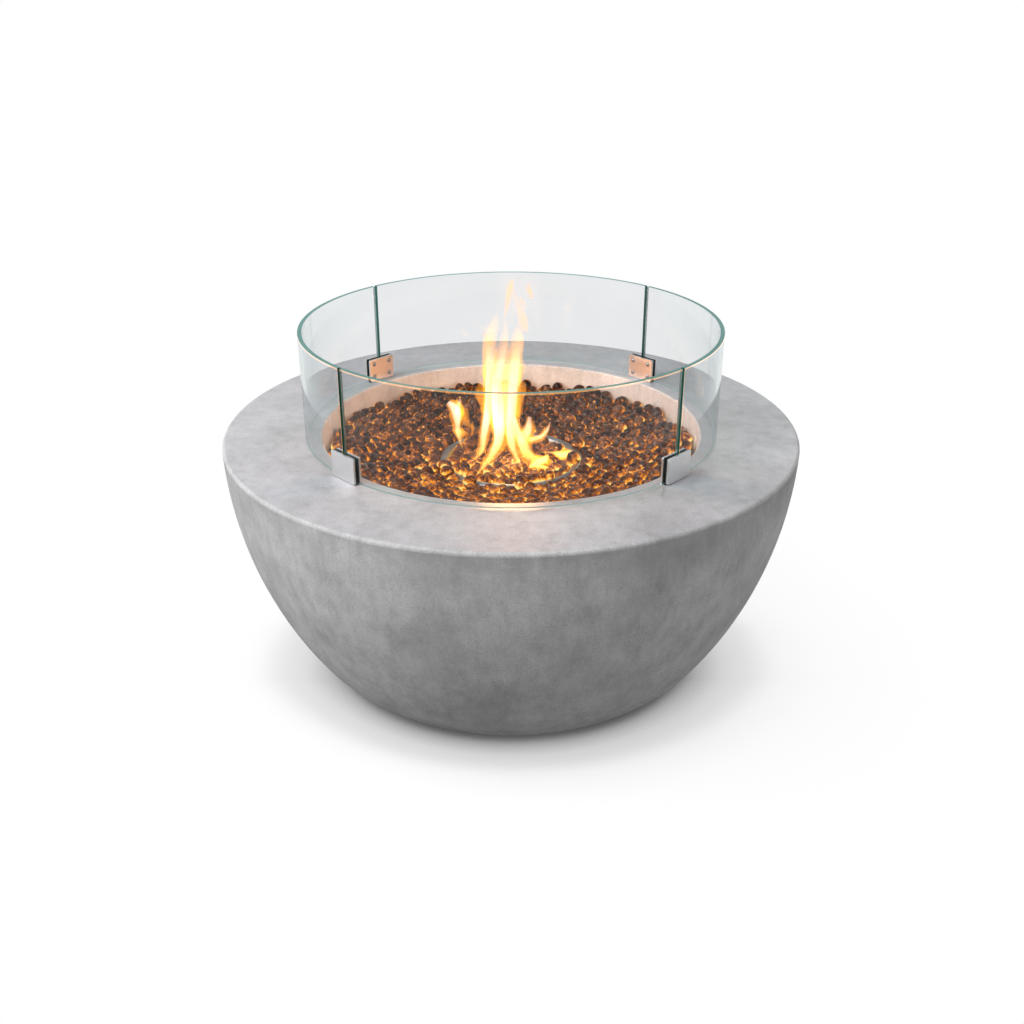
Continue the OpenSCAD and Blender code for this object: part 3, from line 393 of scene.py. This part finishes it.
def bead_glass():
    """Amber glass beads: dark bodies, with a painted glow of the fire's light in veins, sparks and lower
    edges.

    Beads near the burner glow most, and each most on its side away from the fire. The glow is painted
    emission.
    """
    s = Shader("amber_fire_glass")
    tone = s.add("Attribute", {"attribute_name": "tone"}).outputs["Fac"]
    inside = s.vector("ADD", s.place, tone)
    swirl = s.noise(105.0, 2.0, 0.5, inside)
    fold = s.noise(62.0, 1.0, 0.5, inside)
    color = s.ramp(tone, (0.0, (0.013, 0.006, 0.004)), (0.5, (0.040, 0.019, 0.011)),
                   (1.0, (0.110, 0.054, 0.029)))
    shade = s.ramp(swirl, *grays((0.32, 0.50), (0.5, 1.0), (0.68, 1.6)))
    normal = s.add("NewGeometry").outputs["Normal"]
    flat = s.vector("MULTIPLY", s.place, (1.0, 1.0, 0.0))
    away = s.vector("DOT_PRODUCT", s.vector("NORMALIZE", flat), normal)
    # Painted fire light: these masks place the beads' emission, which stands in for the fire's light passing
    # through them
    lee = s.span(away, 0.10, 1.0, -0.4, 0.7)
    low = s.span(s.add("SeparateXYZ", Vector=normal).outputs["Z"], 1.0, 0.0, 0.05, 0.70)
    near = s.span(s.vector("LENGTH", flat), 1.0, 0.62, 0.12, 0.28)
    painted_fire_light = s.math("MULTIPLY", near, s.span(tone, 0.45, 1.0, 0.1, 0.9))
    soaked = s.math("MULTIPLY", s.math("MULTIPLY", low, lee), s.span(swirl, 0.0, 1.7, 0.40, 0.60))
    off_fold = s.math("ABSOLUTE", s.math("SUBTRACT", fold, 0.5))
    vein_glint = s.math("MULTIPLY", s.span(off_fold, 0.5, 0.0, 0.010, 0.032), s.span(lee, 0.45, 1.0, 0.1, 0.7))
    vein_glint = s.math("MULTIPLY", vein_glint, s.span(swirl, 0.0, 1.0, 0.40, 0.56))
    grain = s.add("TexVoronoi", Vector=inside, Scale=95.0).outputs["Distance"]
    spark = s.math("MULTIPLY", s.span(grain, 0.95, 0.0, 0.10, 0.24), s.span(swirl, 0.0, 1.0, 0.46, 0.54))
    body = s.math("MULTIPLY", s.math("POWER", lee, 2.0), s.span(swirl, 0.18, 0.58, 0.36, 0.64))
    glint = s.math("ADD", s.math("ADD", soaked, body), s.math("ADD", vein_glint, spark))
    glint = s.math("MULTIPLY", painted_fire_light, glint)
    glow = s.ramp(glint, (0.0, (0.0, 0.0, 0.0)), (0.12, (0.11, 0.023, 0.001)), (0.35, (0.62, 0.155, 0.004)),
                  (0.65, (1.0, 0.37, 0.015)), (1.0, (1.0, 0.74, 0.20)))
    # The emission paints the fire's light and glints onto the beads
    s.set(
        Base_Color=s.mix(1.0, color, shade, "MULTIPLY"),
        Roughness=s.span(swirl, 0.06, 0.16),
        IOR=1.5,
        Transmission_Weight=0.1,
        Specular_IOR_Level=0.22,
        Emission_Color=glow,
        Emission_Strength=1.3,
    )
    return s.material


def bed_glass():
    """The glass deep in the bed, seen only through gaps between the beads."""
    s = Shader("deep_fire_glass")
    lumps = s.add("TexVoronoi", Vector=s.place, Scale=75.0).outputs["Distance"]
    color = s.ramp(lumps, (0.1, (0.10, 0.045, 0.018)), (0.6, (0.018, 0.010, 0.006)))
    s.set(Base_Color=color, Roughness=0.25)
    s.bump(lumps, 0.8, 0.004)
    return s.material


def fire(name, color, strength, veil, veil_color, fade=None, foot_color=None):
    """Glowing gas: light from the whole inside of a closed tongue, which also dims the blue behind it.

    fade: the heights where the gas starts to thin out and where little is left of it, and that rest.
    foot_color: the colour near the burner.
    """
    s = Shader(name)
    height = s.height()
    if fade:
        low, high, rest = fade
        strength, veil = (s.span(height, full, full * rest, low, high) for full in (strength, veil))
    color = (*color, 1.0)
    if foot_color:
        color = s.mix(s.span(height, 0.0, 1.0, *FOOT_Z), (*foot_color, 1.0), color)
    glow = s.add("Emission", Color=color, Strength=strength).outputs[0]
    smoke = s.add("VolumeAbsorption", Color=veil_color, Density=veil).outputs[0]
    s.put(s.output.inputs["Volume"], s.add_shaders(glow, smoke))
    s.tree.nodes.remove(s.surface)
    return s.material


MATERIALS = {
    "concrete": concrete(),
    "pan_steel": metal("pan_steel", (0.30, 0.29, 0.28), 0.48, stain=(0.16, 0.10, 0.06)),
    "burner_steel": metal("burner_steel", (0.54, 0.51, 0.49), 0.40, stain=(0.34, 0.26, 0.20)),
    "steel": metal("plain_steel", (0.46, 0.46, 0.47), 0.34),
    "brass": metal("machined_brass", (0.72, 0.50, 0.20), 0.26, stain=(0.46, 0.28, 0.10)),
    "braided_hose": braided_hose(),
    "panel_steel": metal("panel_steel", (0.60, 0.60, 0.61), 0.32),
    "black_plastic": moulded("black_plastic", (0.022, 0.022, 0.024), 0.42),
    "red_plastic": moulded("red_plastic", (0.42, 0.025, 0.018), 0.30),
    "battery_can": moulded("battery_can", (0.07, 0.08, 0.10), 0.32),
    "ceramic": ceramic(),
    "copper": metal("copper", (0.72, 0.36, 0.20), 0.32, stain=(0.34, 0.16, 0.09)),
    "lead_jacket": moulded("lead_jacket", (0.018, 0.018, 0.020), 0.55),
    "spring_steel": metal("spring_steel", (0.46, 0.46, 0.48), 0.26),
    "rubber": moulded("foot_rubber", (0.014, 0.014, 0.014), 0.72, 500.0, 0.25),
    "clamp_steel": metal("clamp_steel", (0.80, 0.80, 0.805), 0.42, (60.0, 60.0, 700.0), contrast=0.4),
    "gasket_rubber": moulded("gasket_rubber", (0.020, 0.024, 0.026), 0.48),
    "guard_glass": guard_glass(),
    "fire_glass": bead_glass(),
}

for part in frame["record"]["subparts"]:
    shown = nodes[part["node"]].data
    shown.materials.clear()
    shown.materials.append(MATERIALS[part["material_slot"]])


def soften(name, width):
    """Breaks a plate's sharp edges so that they catch the light."""
    weld = nodes[name].modifiers.new("join_faces", "WELD")
    weld.merge_threshold = 0.00001
    bevel = nodes[name].modifiers.new("broken_edges", "BEVEL")
    bevel.width = width
    bevel.segments = 2
    bevel.limit_method = "ANGLE"
    bevel.angle_limit = math.radians(50)


for name in nodes:
    if "_clamp_" in name or name == "control_panel":
        soften(name, EDGE_BREAK)


def add_piece(name, verts, faces, material, body):
    """A smooth mesh that rides on a body."""
    mesh = bpy.data.meshes.new(name)
    mesh.from_pydata(verts, [], faces)
    mesh.polygons.foreach_set("use_smooth", [True] * len(faces))
    mesh.materials.append(material)
    mesh.update()
    piece = bpy.data.objects.new(name, mesh)
    bpy.context.scene.collection.objects.link(piece)
    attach(piece, body)
    return piece


# Springs

def add_spring(node, body):
    """A copy of a spring's coil with its own mesh, riding on a body in place of the imported spring."""
    coil = bpy.data.objects.new(node + "_coil", nodes[node].data.copy())
    bpy.context.scene.collection.objects.link(coil)
    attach(coil, body)
    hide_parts(node)
    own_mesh(coil)


add_spring("stem_spring", "valve_core")
add_spring("igniter_spring", "base")


# Fire glass

def bed_level(r):
    """Height of the middle of the top beads at a distance from the axis."""
    low = TABLE_Z - BED_RING_DROP
    high = TABLE_Z - BED_WALL_DROP
    share = max(0.0, (r - RING_R) / (BED_R - RING_R))
    return low + (high - low) * share


def scatter(rng, pitch, drop):
    """A jittered honeycomb of bead centres and radii over the bed."""
    beads = []
    row_step = pitch * math.sqrt(3) / 2
    rows = int(BED_R / row_step)
    for j in range(-rows, rows + 1):
        for i in range(-rows - 1, rows + 2):
            x = (i + 0.5 * (j % 2)) * pitch + rng.uniform(-JITTER, JITTER) * pitch
            y = j * row_step + rng.uniform(-JITTER, JITTER) * pitch
            radius = rng.uniform(*BEAD_RADIUS)
            r = math.hypot(x, y)
            if r < BED_R - radius:
                z = bed_level(r) - drop + rng.uniform(*HEIGHT_JITTER)
                beads.append([Vector((x, y, z)), radius])
    return beads


def clear_of_ring(centre, radius):
    """Moves a bead out of the burner ring's tube."""
    r = max(math.hypot(centre.x, centre.y), 1e-6)
    on_ring = Vector((centre.x / r * RING_R, centre.y / r * RING_R, RING_Z))
    away = centre - on_ring
    if away.length < RING_TUBE_R + radius:
        centre = on_ring + away.normalized() * (RING_TUBE_R + radius)
    return centre


def covers_ring(centre, radius):
    """True for a bead that lies on top of the burner ring's tube."""
    aside = abs(math.hypot(centre.x, centre.y) - RING_R)
    near = aside < RING_BARE_SHARE * (RING_TUBE_R + radius)
    return near and centre.z + radius > RING_Z + RING_TUBE_R - RING_BARE


def relax(beads, drops):
    """Pushes beads apart until they lie side by side, and back towards their level."""
    for _ in range(RELAX_ROUNDS):
        tree = KDTree(len(beads))
        for i, (centre, radius) in enumerate(beads):
            tree.insert(centre, i)
        tree.balance()
        moves = [Vector() for _ in beads]
        for i, (centre, radius) in enumerate(beads):
            for other, j, distance in tree.find_range(centre, radius + BEAD_RADIUS[1]):
                room = TOUCHING * (radius + beads[j][1])
                if j != i and 1e-6 < distance < room:
                    moves[i] += (centre - other) / distance * (room - distance) * PUSH
        for i, (centre, radius) in enumerate(beads):
            centre = clear_of_ring(centre + moves[i], radius)
            r = math.hypot(centre.x, centre.y)
            if r > BED_R - radius:
                centre.x *= (BED_R - radius) / r
                centre.y *= (BED_R - radius) / r
            centre.z += (bed_level(r) - drops[i] - centre.z) * SETTLE
            beads[i][0] = centre


def ball(subdivisions):
    """Corners and triangles of a unit ball."""
    made = bmesh.new()
    bmesh.ops.create_icosphere(made, subdivisions=subdivisions, radius=1.0)
    verts = [v.co.copy() for v in made.verts]
    made.verts.index_update()
    faces = [[v.index for v in f.verts] for f in made.faces]
    made.free()
    return verts, faces


def pebble(rng, verts):
    """A unit ball worn into a smooth uneven pebble."""
    shift = Vector((rng.uniform(0, 90), rng.uniform(0, 90), rng.uniform(0, 90)))
    squeeze = Vector((rng.uniform(*PEBBLE_WIDTH), rng.uniform(*PEBBLE_WIDTH), rng.uniform(*PEBBLE_HEIGHT)))
    return [v * (1 + PEBBLE_DENT * noise.noise(v * 1.1 + shift)) * squeeze for v in verts]


def add_beads():
    """Two layers of loose beads, in four pieces."""
    rng = random.Random(7)
    top = scatter(rng, BEAD_PITCH, 0.0)
    lower = scatter(rng, LOWER_PITCH, LOWER_LAYER_DROP)
    beads = top + lower
    relax(beads, [0.0] * len(top) + [LOWER_LAYER_DROP] * len(lower))
    fine_verts, fine_faces = ball(3)
    rough_verts, rough_faces = ball(2)
    shapes = [(pebble(rng, fine_verts), fine_faces) for _ in range(BEAD_SHAPES)]
    rough_shapes = [(pebble(rng, rough_verts), rough_faces) for _ in range(BEAD_SHAPES)]
    quarters = [([], [], []) for _ in range(4)]
    for i, (centre, radius) in enumerate(beads):
        if covers_ring(centre, radius) and rng.random() < RING_CLEARED:
            continue
        verts, faces, tones = quarters[(centre.x > 0) + 2 * (centre.y > 0)]
        shape_verts, shape_faces = rng.choice(shapes if i < len(top) else rough_shapes)
        tilts = [rng.uniform(-PEBBLE_TILT, PEBBLE_TILT) for _ in range(2)]
        turn = Euler((*tilts, rng.uniform(0, math.tau))).to_matrix()
        start = len(verts)
        verts.extend(centre + turn @ (v * radius) for v in shape_verts)
        faces.extend([k + start for k in face] for face in shape_faces)
        tones.extend([rng.random()] * len(shape_verts))
    names = ("front_left", "front_right", "back_left", "back_right")
    for name, (verts, faces, tones) in zip(names, quarters):
        piece = add_piece("fire_glass_beads_" + name, verts, faces, MATERIALS["fire_glass"], "base")
        piece.data.attributes.new("tone", "FLOAT", "POINT").data.foreach_set("value", tones)
        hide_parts("fire_glass")


def lathe(profile, turns):
    """Corners and faces of a closed turned solid; its radius and height pairs start and end on the axis."""
    verts = [Vector((0, 0, profile[0][1])), Vector((0, 0, profile[-1][1]))]
    for r, z in profile[1:-1]:
        for k in range(turns):
            a = math.tau * k / turns
            verts.append(Vector((r * math.cos(a), r * math.sin(a), z)))
    rings = len(profile) - 2
    faces = []
    for k in range(turns):
        n = (k + 1) % turns
        faces.append([0, 2 + n, 2 + k])
        for j in range(rings - 1):
            low = 2 + j * turns
            faces.append([low + k, low + n, low + turns + n, low + turns + k])
        last = 2 + (rings - 1) * turns
        faces.append([1, last + k, last + n])
    return verts, faces


def add_bed_core():
    """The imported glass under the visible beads, down to the pan."""
    rng = random.Random(11)
    under = BED_LOW.z + CORE_LIFT
    surface = []
    r = BED_R - CORE_CLEAR
    while r > CORE_LEAST_R:
        level = bed_level(r) - CORE_DROP
        if abs(r - RING_R) < TRENCH_HALF:
            level = min(level, TRENCH_FLOOR)
        surface.append((r, level + rng.uniform(-CORE_ROUGH, CORE_ROUGH)))
        r -= CORE_STEP
    foot = [(0.0, under), (BED_R - CORE_FOOT_CLEAR, under)]
    verts, faces = lathe(foot + surface + [(0.0, bed_level(0.0) - CORE_DROP)], CORE_TURNS)
    piece = add_piece("fire_glass_bed", verts, faces, bed_glass(), "base")
    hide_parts("fire_glass")


add_beads()
add_bed_core()


# Flame

FLAME_SIDES = 20
FLAME_RINGS = 44
FLAME_DEPTH = 0.72
FLAME_RIPPLE = 0.16
FLAME_SWAY = 0.25
LEAST_HALF = 0.00015
FLAME_COLOR = (1.0, 0.36, 0.03)
WISP_COLOR = (1.0, 0.32, 0.06)
VEIL_COLOR = (1.0, 0.84, 0.38, 1.0)
WISP_VEIL_COLOR = (1.0, 0.91, 0.79, 1.0)

# Brighter core of a tongue: its width, light and veil against the whole tongue's, and its colours
CORE_SHARE = 0.56
CORE_LIGHT = 0.8
CORE_VEIL = 0.2
CORE_COLOR = (1.0, 0.88, 0.95)
CORE_FOOT_COLOR = (1.0, 0.68, 0.22)

# Heights between which the gas thins out, and the share of it that is left above
FLAME_FADE = (0.43, 0.59, 0.10)
CORE_FADE = (0.42, 0.535, 0.0)

# Each tongue: middle points from foot to tip and half widths there, in metres, and its brightness
TONGUES = {
    "left_leg": (
        [(-0.066, -0.028, 0.358), (-0.053, -0.022, 0.365), (-0.044, -0.015, 0.377), (-0.042, -0.005, 0.396),
         (-0.035, 0.0, 0.444), (-0.032, 0.005, 0.500), (-0.029, 0.02, 0.540), (-0.017, 0.03, 0.588)],
        [0.001, 0.004, 0.007, 0.009, 0.012, 0.012, 0.010, 0.0], 1.8),
    "front_leg": (
        [(-0.055, -0.084, 0.358), (-0.041, -0.058, 0.366), (-0.028, -0.038, 0.379), (-0.020, -0.020, 0.397),
         (-0.021, -0.008, 0.431), (-0.020, 0.0, 0.478), (-0.010, 0.01, 0.530), (-0.008, 0.02, 0.578)],
        [0.0015, 0.005, 0.009, 0.013, 0.017, 0.014, 0.009, 0.0], 2.4),
    "right_leg": (
        [(0.020, -0.056, 0.358), (0.009, -0.038, 0.371), (0.0, -0.020, 0.387), (-0.002, -0.008, 0.414),
         (0.003, 0.0, 0.461), (0.008, 0.008, 0.508), (0.010, 0.02, 0.540), (0.006, 0.02, 0.562)],
        [0.0015, 0.005, 0.010, 0.013, 0.014, 0.012, 0.010, 0.0], 1.9),
    "middle": (
        [(-0.016, -0.012, 0.392), (-0.010, -0.004, 0.430), (-0.004, 0.004, 0.480), (0.002, 0.012, 0.515),
         (0.004, 0.02, 0.540)],
        [0.006, 0.018, 0.016, 0.010, 0.0], 1.0),
    "right_sweep": (
        [(0.004, -0.006, 0.432), (0.012, -0.014, 0.396), (0.024, -0.025, 0.375), (0.044, -0.030, 0.363)],
        [0.005, 0.011, 0.013, 0.006], 1.5),
    "right_blob": (
        [(0.026, -0.047, 0.359), (0.040, -0.038, 0.363), (0.052, -0.031, 0.367), (0.057, -0.028, 0.374)],
        [0.003, 0.009, 0.008, 0.0], 3.2),
    "right_spur": (
        [(0.036, -0.044, 0.360), (0.048, -0.047, 0.361), (0.060, -0.050, 0.359)],
        [0.005, 0.004, 0.0], 2.2),
    "far_right": (
        [(0.043, 0.010, 0.360), (0.064, 0.008, 0.361), (0.081, -0.004, 0.362), (0.095, 0.0, 0.368)],
        [0.001, 0.0025, 0.010, 0.001], 3.0),
    "right_curl": (
        [(0.024, 0.008, 0.381), (0.044, 0.010, 0.386), (0.055, 0.010, 0.396), (0.061, 0.010, 0.413)],
        [0.008, 0.006, 0.005, 0.0], 1.6),
    "left_tongue": (
        [(-0.0753, 0.022, 0.359), (-0.080, 0.024, 0.374), (-0.082, 0.025, 0.388), (-0.0826, 0.025, 0.399),
         (-0.0845, 0.026, 0.422), (-0.097, 0.026, 0.437)],
        [0.001, 0.004, 0.009, 0.007, 0.013, 0.007], 1.8),
    "left_prong": (
        [(-0.0845, 0.025, 0.416), (-0.081, 0.025, 0.432), (-0.078, 0.025, 0.448)],
        [0.010, 0.007, 0.0], 1.3),
    "right_back": (
        [(0.014, 0.010, 0.374), (0.024, 0.012, 0.392), (0.029, 0.014, 0.418)],
        [0.014, 0.013, 0.004], 1.6),
}

# Tongues of thin gas without a core, orange throughout
FLANKS = {
    "left_lick": (
        [(-0.080, 0.025, 0.427), (-0.070, 0.025, 0.409), (-0.062, 0.025, 0.390)],
        [0.008, 0.007, 0.0], 0.9),
    "left_lick_low": (
        [(-0.081, 0.024, 0.391), (-0.072, 0.024, 0.387), (-0.063, 0.024, 0.382)],
        [0.006, 0.005, 0.0], 0.9),
    "left_spark": (
        [(-0.060, 0.020, 0.386), (-0.060, 0.020, 0.399), (-0.059, 0.020, 0.410)],
        [0.001, 0.003, 0.0], 0.8),
    "left_flank": (
        [(-0.038, 0.005, 0.426), (-0.044, 0.005, 0.455), (-0.047, 0.005, 0.483)],
        [0.009, 0.010, 0.0], 1.0),
    "left_flank_high": (
        [(-0.032, 0.010, 0.466), (-0.034, 0.010, 0.494), (-0.035, 0.010, 0.518)],
        [0.008, 0.009, 0.0], 0.9),
    "right_flank": (
        [(0.009, 0.005, 0.420), (0.015, 0.005, 0.456), (0.020, 0.005, 0.484)],
        [0.006, 0.008, 0.0], 0.9),
    "right_flank_high": (
        [(0.010, 0.012, 0.466), (0.013, 0.012, 0.496), (0.017, 0.012, 0.520)],
        [0.009, 0.008, 0.0], 0.9),
    "haze_low": (
        [(-0.016, -0.014, 0.372), (-0.012, -0.010, 0.386), (-0.010, -0.006, 0.404)],
        [0.016, 0.016, 0.006], 0.35),
}

# Wisps that have left the flame
WISPS = {
    "wisp_right": (
        [(0.025, 0.05, 0.541), (0.019, 0.06, 0.553), (0.009, 0.10, 0.574), (0.001, 0.15, 0.5905)],
        [0.006, 0.008, 0.0035, 0.002], 0.26),
    "wisp_strand": (
        [(0.024, 0.10, 0.562), (0.017, 0.11, 0.571), (0.013, 0.12, 0.582)],
        [0.0, 0.003, 0.0], 0.20),
    "wisp_left": (
        [(-0.010, 0.06, 0.556), (-0.007, 0.09, 0.572), (-0.001, 0.13, 0.586), (0.001, 0.16, 0.5935)],
        [0.001, 0.004, 0.005, 0.003], 0.24),
    "wisp_far": (
        [(0.032, 0.10, 0.578), (0.029, 0.13, 0.586), (0.026, 0.15, 0.593)],
        [0.002, 0.004, 0.0], 0.18),
    "wisp_low": (
        [(-0.030, 0.010, 0.532), (-0.036, 0.012, 0.543), (-0.043, 0.014, 0.549)],
        [0.008, 0.006, 0.002], 0.28),
}


def along(points, t):
    """A smooth curve through points or numbers, at t from 0 to 1."""
    spans = len(points) - 1
    k = min(int(t * spans), spans - 1)
    u = t * spans - k
    before, start = points[max(k - 1, 0)], points[k]
    end, after = points[k + 1], points[min(k + 2, spans)]
    return 0.5 * ((2 * start) + (end - before) * u + (2 * before - 5 * start + 4 * end - after) * u ** 2
                  + (3 * start - before - 3 * end + after) * u ** 3)


def tongue(spine, widths, share, phase):
    """Corners and faces of one closed tongue of flame around its spine."""
    points = [Vector(p) for p in spine]
    verts = []
    for k in range(FLAME_RINGS + 1):
        t = k / FLAME_RINGS
        middle = along(points, t)
        ahead = (along(points, min(1.0, t + 0.01)) - along(points, max(0.0, t - 0.01))).normalized()
        across = ahead.cross(Vector((0, 1, 0))).normalized()
        deep = across.cross(ahead)
        half = max(LEAST_HALF, along(widths, t) * share * min(1.0, 0.25 + 6 * t))
        sway = FLAME_SWAY * half * math.sin(9.0 * t + phase) * share
        for j in range(FLAME_SIDES):
            a = math.tau * j / FLAME_SIDES
            ripple = 1 + FLAME_RIPPLE * math.sin(3 * a + 7 * t + phase)
            side = across * (half * math.cos(a) * ripple + sway)
            verts.append(middle + side + deep * (half * FLAME_DEPTH * math.sin(a) * ripple))
    faces = []
    for k in range(FLAME_RINGS):
        for j in range(FLAME_SIDES):
            n = (j + 1) % FLAME_SIDES
            low, high = k * FLAME_SIDES, (k + 1) * FLAME_SIDES
            faces.append([low + j, high + j, high + n, low + n])
    faces.append(list(range(FLAME_SIDES)))
    faces.append([FLAME_RINGS * FLAME_SIDES + j for j in range(FLAME_SIDES)][::-1])
    return verts, faces


def thickness(widths):
    """Depth of a tongue where it is widest."""
    return 2 * FLAME_DEPTH * max(widths)


def add_tongue(name, spine, widths, share, phase, material):
    piece = add_piece(name, *tongue(spine, widths, share, phase), material, "base")
    piece.visible_glossy = False
    piece.visible_shadow = False


def thins_out(spine, fade):
    """The fade, for a tongue that reaches up into it."""
    return fade if max(z for x, y, z in spine) > fade[0] else None


def add_flame():
    """Each tongue's gas, with the same light and veil across whatever its depth, and its core."""
    for i, (name, (spine, widths, bright)) in enumerate((TONGUES | FLANKS).items()):
        depth = thickness(widths)
        outer = fire("flame_" + name, FLAME_COLOR, bright / depth, 1.0 / depth, VEIL_COLOR,
                     thins_out(spine, FLAME_FADE))
        add_tongue("flame_" + name, spine, widths, 1.0, i, outer)
        if name in TONGUES:
            core_light = CORE_LIGHT * bright / depth / CORE_SHARE
            core = fire("flame_core_" + name, CORE_COLOR, core_light, CORE_VEIL / depth, VEIL_COLOR,
                        thins_out(spine, CORE_FADE), CORE_FOOT_COLOR)
            add_tongue("flame_core_" + name, spine, widths, CORE_SHARE, i, core)
    for i, (name, (spine, widths, bright)) in enumerate(WISPS.items()):
        depth = thickness(widths)
        wisp = fire("flame_" + name, WISP_COLOR, bright / depth, 1.0 / depth, WISP_VEIL_COLOR)
        add_tongue("flame_" + name, spine, widths, 1.0, i, wisp)


add_flame()


# Stage: white floor and background, soft light from the upper left, a weak fill, glow of the fire

# Floor: half width, tone for bounced light, the lit and glowing shares that the camera sees,
# and the distances from the axis between which it turns plain white
FLOOR_HALF = 9.0
FLOOR_TONE = (0.150, 0.170)
FLOOR_SHARE_LIT = 0.20
FLOOR_SHARE_GLOWING = 0.84
NEAR_FLOOR = (0.32, 0.72)

# How white the floor is against how much of the sky it sees, and how far away it looks for what hides the sky
SHADOW_STOPS = ((0.08, 0.07), (0.15, 0.17), (0.175, 0.31), (0.22, 0.47), (0.33, 0.71), (0.41, 0.76),
                (0.50, 0.94), (0.65, 1.0))
SHADOW_REACH = 0.30
SHADOW_SAMPLES = 64

# Shifts of that share, each from one value to another between two distances: towards front and back,
# and to the right
SHADOW_ENDWISE = (-0.13, 0.060, 0.08, 0.32)
SHADOW_RIGHT = (0.0, -0.035, 0.05, 0.30)

# Light from around: its colour, and its strength at left and right and at front and back
AMBIENT = (0.4221, 0.4158, 0.42, 1.0)
LEFT_RIGHT = (1.56, 0.80)
FRONT_BACK = (1.22, 0.78)


def add_floor():
    """White floor, on which the camera sees a soft contact shadow; other rays meet a dull grey."""
    h = FLOOR_HALF
    mesh = bpy.data.meshes.new("floor")
    mesh.from_pydata([(-h, -h, 0), (h, -h, 0), (h, h, 0), (-h, h, 0)], [], [[0, 1, 2, 3]])
    floor = bpy.data.objects.new("floor", mesh)
    bpy.context.scene.collection.objects.link(floor)
    s = Shader("pale_floor")
    grain = s.noise(3.0, 4.0)
    dark, bright = FLOOR_TONE
    s.set(Base_Color=s.ramp(grain, *grays((0.3, dark), (0.7, bright))), Roughness=0.9)
    sky = s.add("AmbientOcclusion", {"samples": SHADOW_SAMPLES}, Distance=SHADOW_REACH).outputs["AO"]
    spot = s.add("SeparateXYZ", Vector=s.place)
    endwise = s.math("ABSOLUTE", spot.outputs["Y"])
    sky = s.math("ADD", sky, s.span(endwise, *SHADOW_ENDWISE))
    sky = s.math("ADD", sky, s.span(spot.outputs["X"], *SHADOW_RIGHT))
    shadow = s.ramp(sky, *grays(*SHADOW_STOPS))
    lit = s.mix(1.0, shadow, gray_rgba(FLOOR_SHARE_LIT), "MULTIPLY")
    white = s.add("BsdfDiffuse", Color=lit).outputs[0]
    lift = s.add("Emission", Color=shadow, Strength=FLOOR_SHARE_GLOWING).outputs[0]
    far = s.add("Emission", Color=(1.0, 1.0, 1.0, 1.0), Strength=1.0).outputs[0]
    away = s.span(s.vector("LENGTH", s.place), 0.0, 1.0, *NEAR_FLOOR)
    shown = s.mix_shaders(away, s.add_shaders(white, lift), far)
    shown = s.mix_shaders(s.seen("Camera", "Glossy", "Transmission"), s.surface.outputs[0], shown)
    s.put(s.output.inputs["Surface"], shown)
    mesh.materials.append(s.material)


def add_world():
    """White where it is seen or mirrored, dimmer overhead; as light, grey and most from the front left."""
    world = bpy.data.worlds.new("studio")
    bpy.context.scene.world = world
    world.use_nodes = True
    world.node_tree.nodes.clear()
    s = Nodes(world.node_tree)
    way = s.add("SeparateXYZ", Vector=s.add("TexCoord").outputs["Generated"])
    sideways = s.span(way.outputs["X"], *LEFT_RIGHT, -1.0, 1.0)
    endwise = s.span(way.outputs["Y"], *FRONT_BACK, -1.0, 1.0)
    light = s.add("Background", Color=AMBIENT, Strength=s.math("MULTIPLY", sideways, endwise)).outputs[0]
    backdrop = s.ramp(way.outputs["Z"], *grays((0.35, 1.0), (0.75, 0.30)))
    white = s.add("Background", Color=backdrop).outputs[0]
    shown = s.mix_shaders(s.seen("Camera", "Glossy", "Transmission"), light, white)
    s.put(s.add("OutputWorld").inputs["Surface"], shown)


def add_lamp(name, kind, place, power, color, size, target=None, lights=None):
    """lights: the nodes that the lamp lights, where it doesn't light everything."""
    data = bpy.data.lights.new(name, kind)
    data.energy = power
    data.color = color
    if kind == "AREA":
        data.size = size
    else:
        data.shadow_soft_size = size
    lamp = bpy.data.objects.new(name, data)
    lamp.visible_glossy = kind == "AREA" or lights is not None
    lamp.visible_transmission = False
    lamp.location = place
    if target is not None:
        lamp.rotation_euler = (Vector(target) - Vector(place)).to_track_quat("-Z", "Y").to_euler()
    if lights is not None:
        lit = bpy.data.collections.new(name + "_lights")
        for node in lights:
            lit.objects.link(nodes[node])
        lamp.light_linking.receiver_collection = lit
    bpy.context.scene.collection.objects.link(lamp)


def add_camera():
    data = bpy.data.cameras.new("photo_camera")
    data.lens = CAMERA_LENS
    data.shift_x = AXIS_OFFSET_PIXELS / IMAGE_SIDE
    camera = bpy.data.objects.new("photo_camera", data)
    camera.location = CAMERA_PLACE
    camera.rotation_euler = (math.radians(90 - CAMERA_TILT), 0, 0)
    bpy.context.scene.collection.objects.link(camera)
    bpy.context.scene.camera = camera


FIRE_COLOR = (1.0, 0.86, 0.79)
SHEEN_COLOR = (1.0, 0.40, 0.13)
RING_SHEEN_COLOR = (1.0, 0.72, 0.42)
add_floor()
add_world()
add_lamp("key", "AREA", (-2.12, -0.99, 2.48), 79.0, (1.0, 0.995, 0.985), 2.0, (0, 0, 0.3))
add_lamp("fill", "POINT", (2.0, -0.9, 1.1), 27.0, (1.0, 1.0, 1.0), 0.6)
add_lamp("fire_glow_low", "POINT", (0.0, -0.01, 0.405), 0.8, FIRE_COLOR, 0.03)
add_lamp("fire_glow_high", "POINT", (0.0, 0.01, 0.490), 0.6, FIRE_COLOR, 0.04)
add_lamp("fire_sheen", "POINT", (0.0, -0.09, 0.500), 1.8, SHEEN_COLOR, 0.045,
         lights=["bowl_shell", "table_top"])
add_lamp("ring_sheen", "POINT", (0.0, -0.02, 0.410), 0.25, RING_SHEEN_COLOR, 0.030,
         lights=["burner_ring"])
add_lamp("plate_sheen", "POINT", (0.0, 0.0, 0.385), 3.6, SHEEN_COLOR, 0.040,
         lights=[name for name in nodes if name.startswith("inner_clamp_")])
add_camera()
bpy.context.scene.view_settings.view_transform = "Standard"
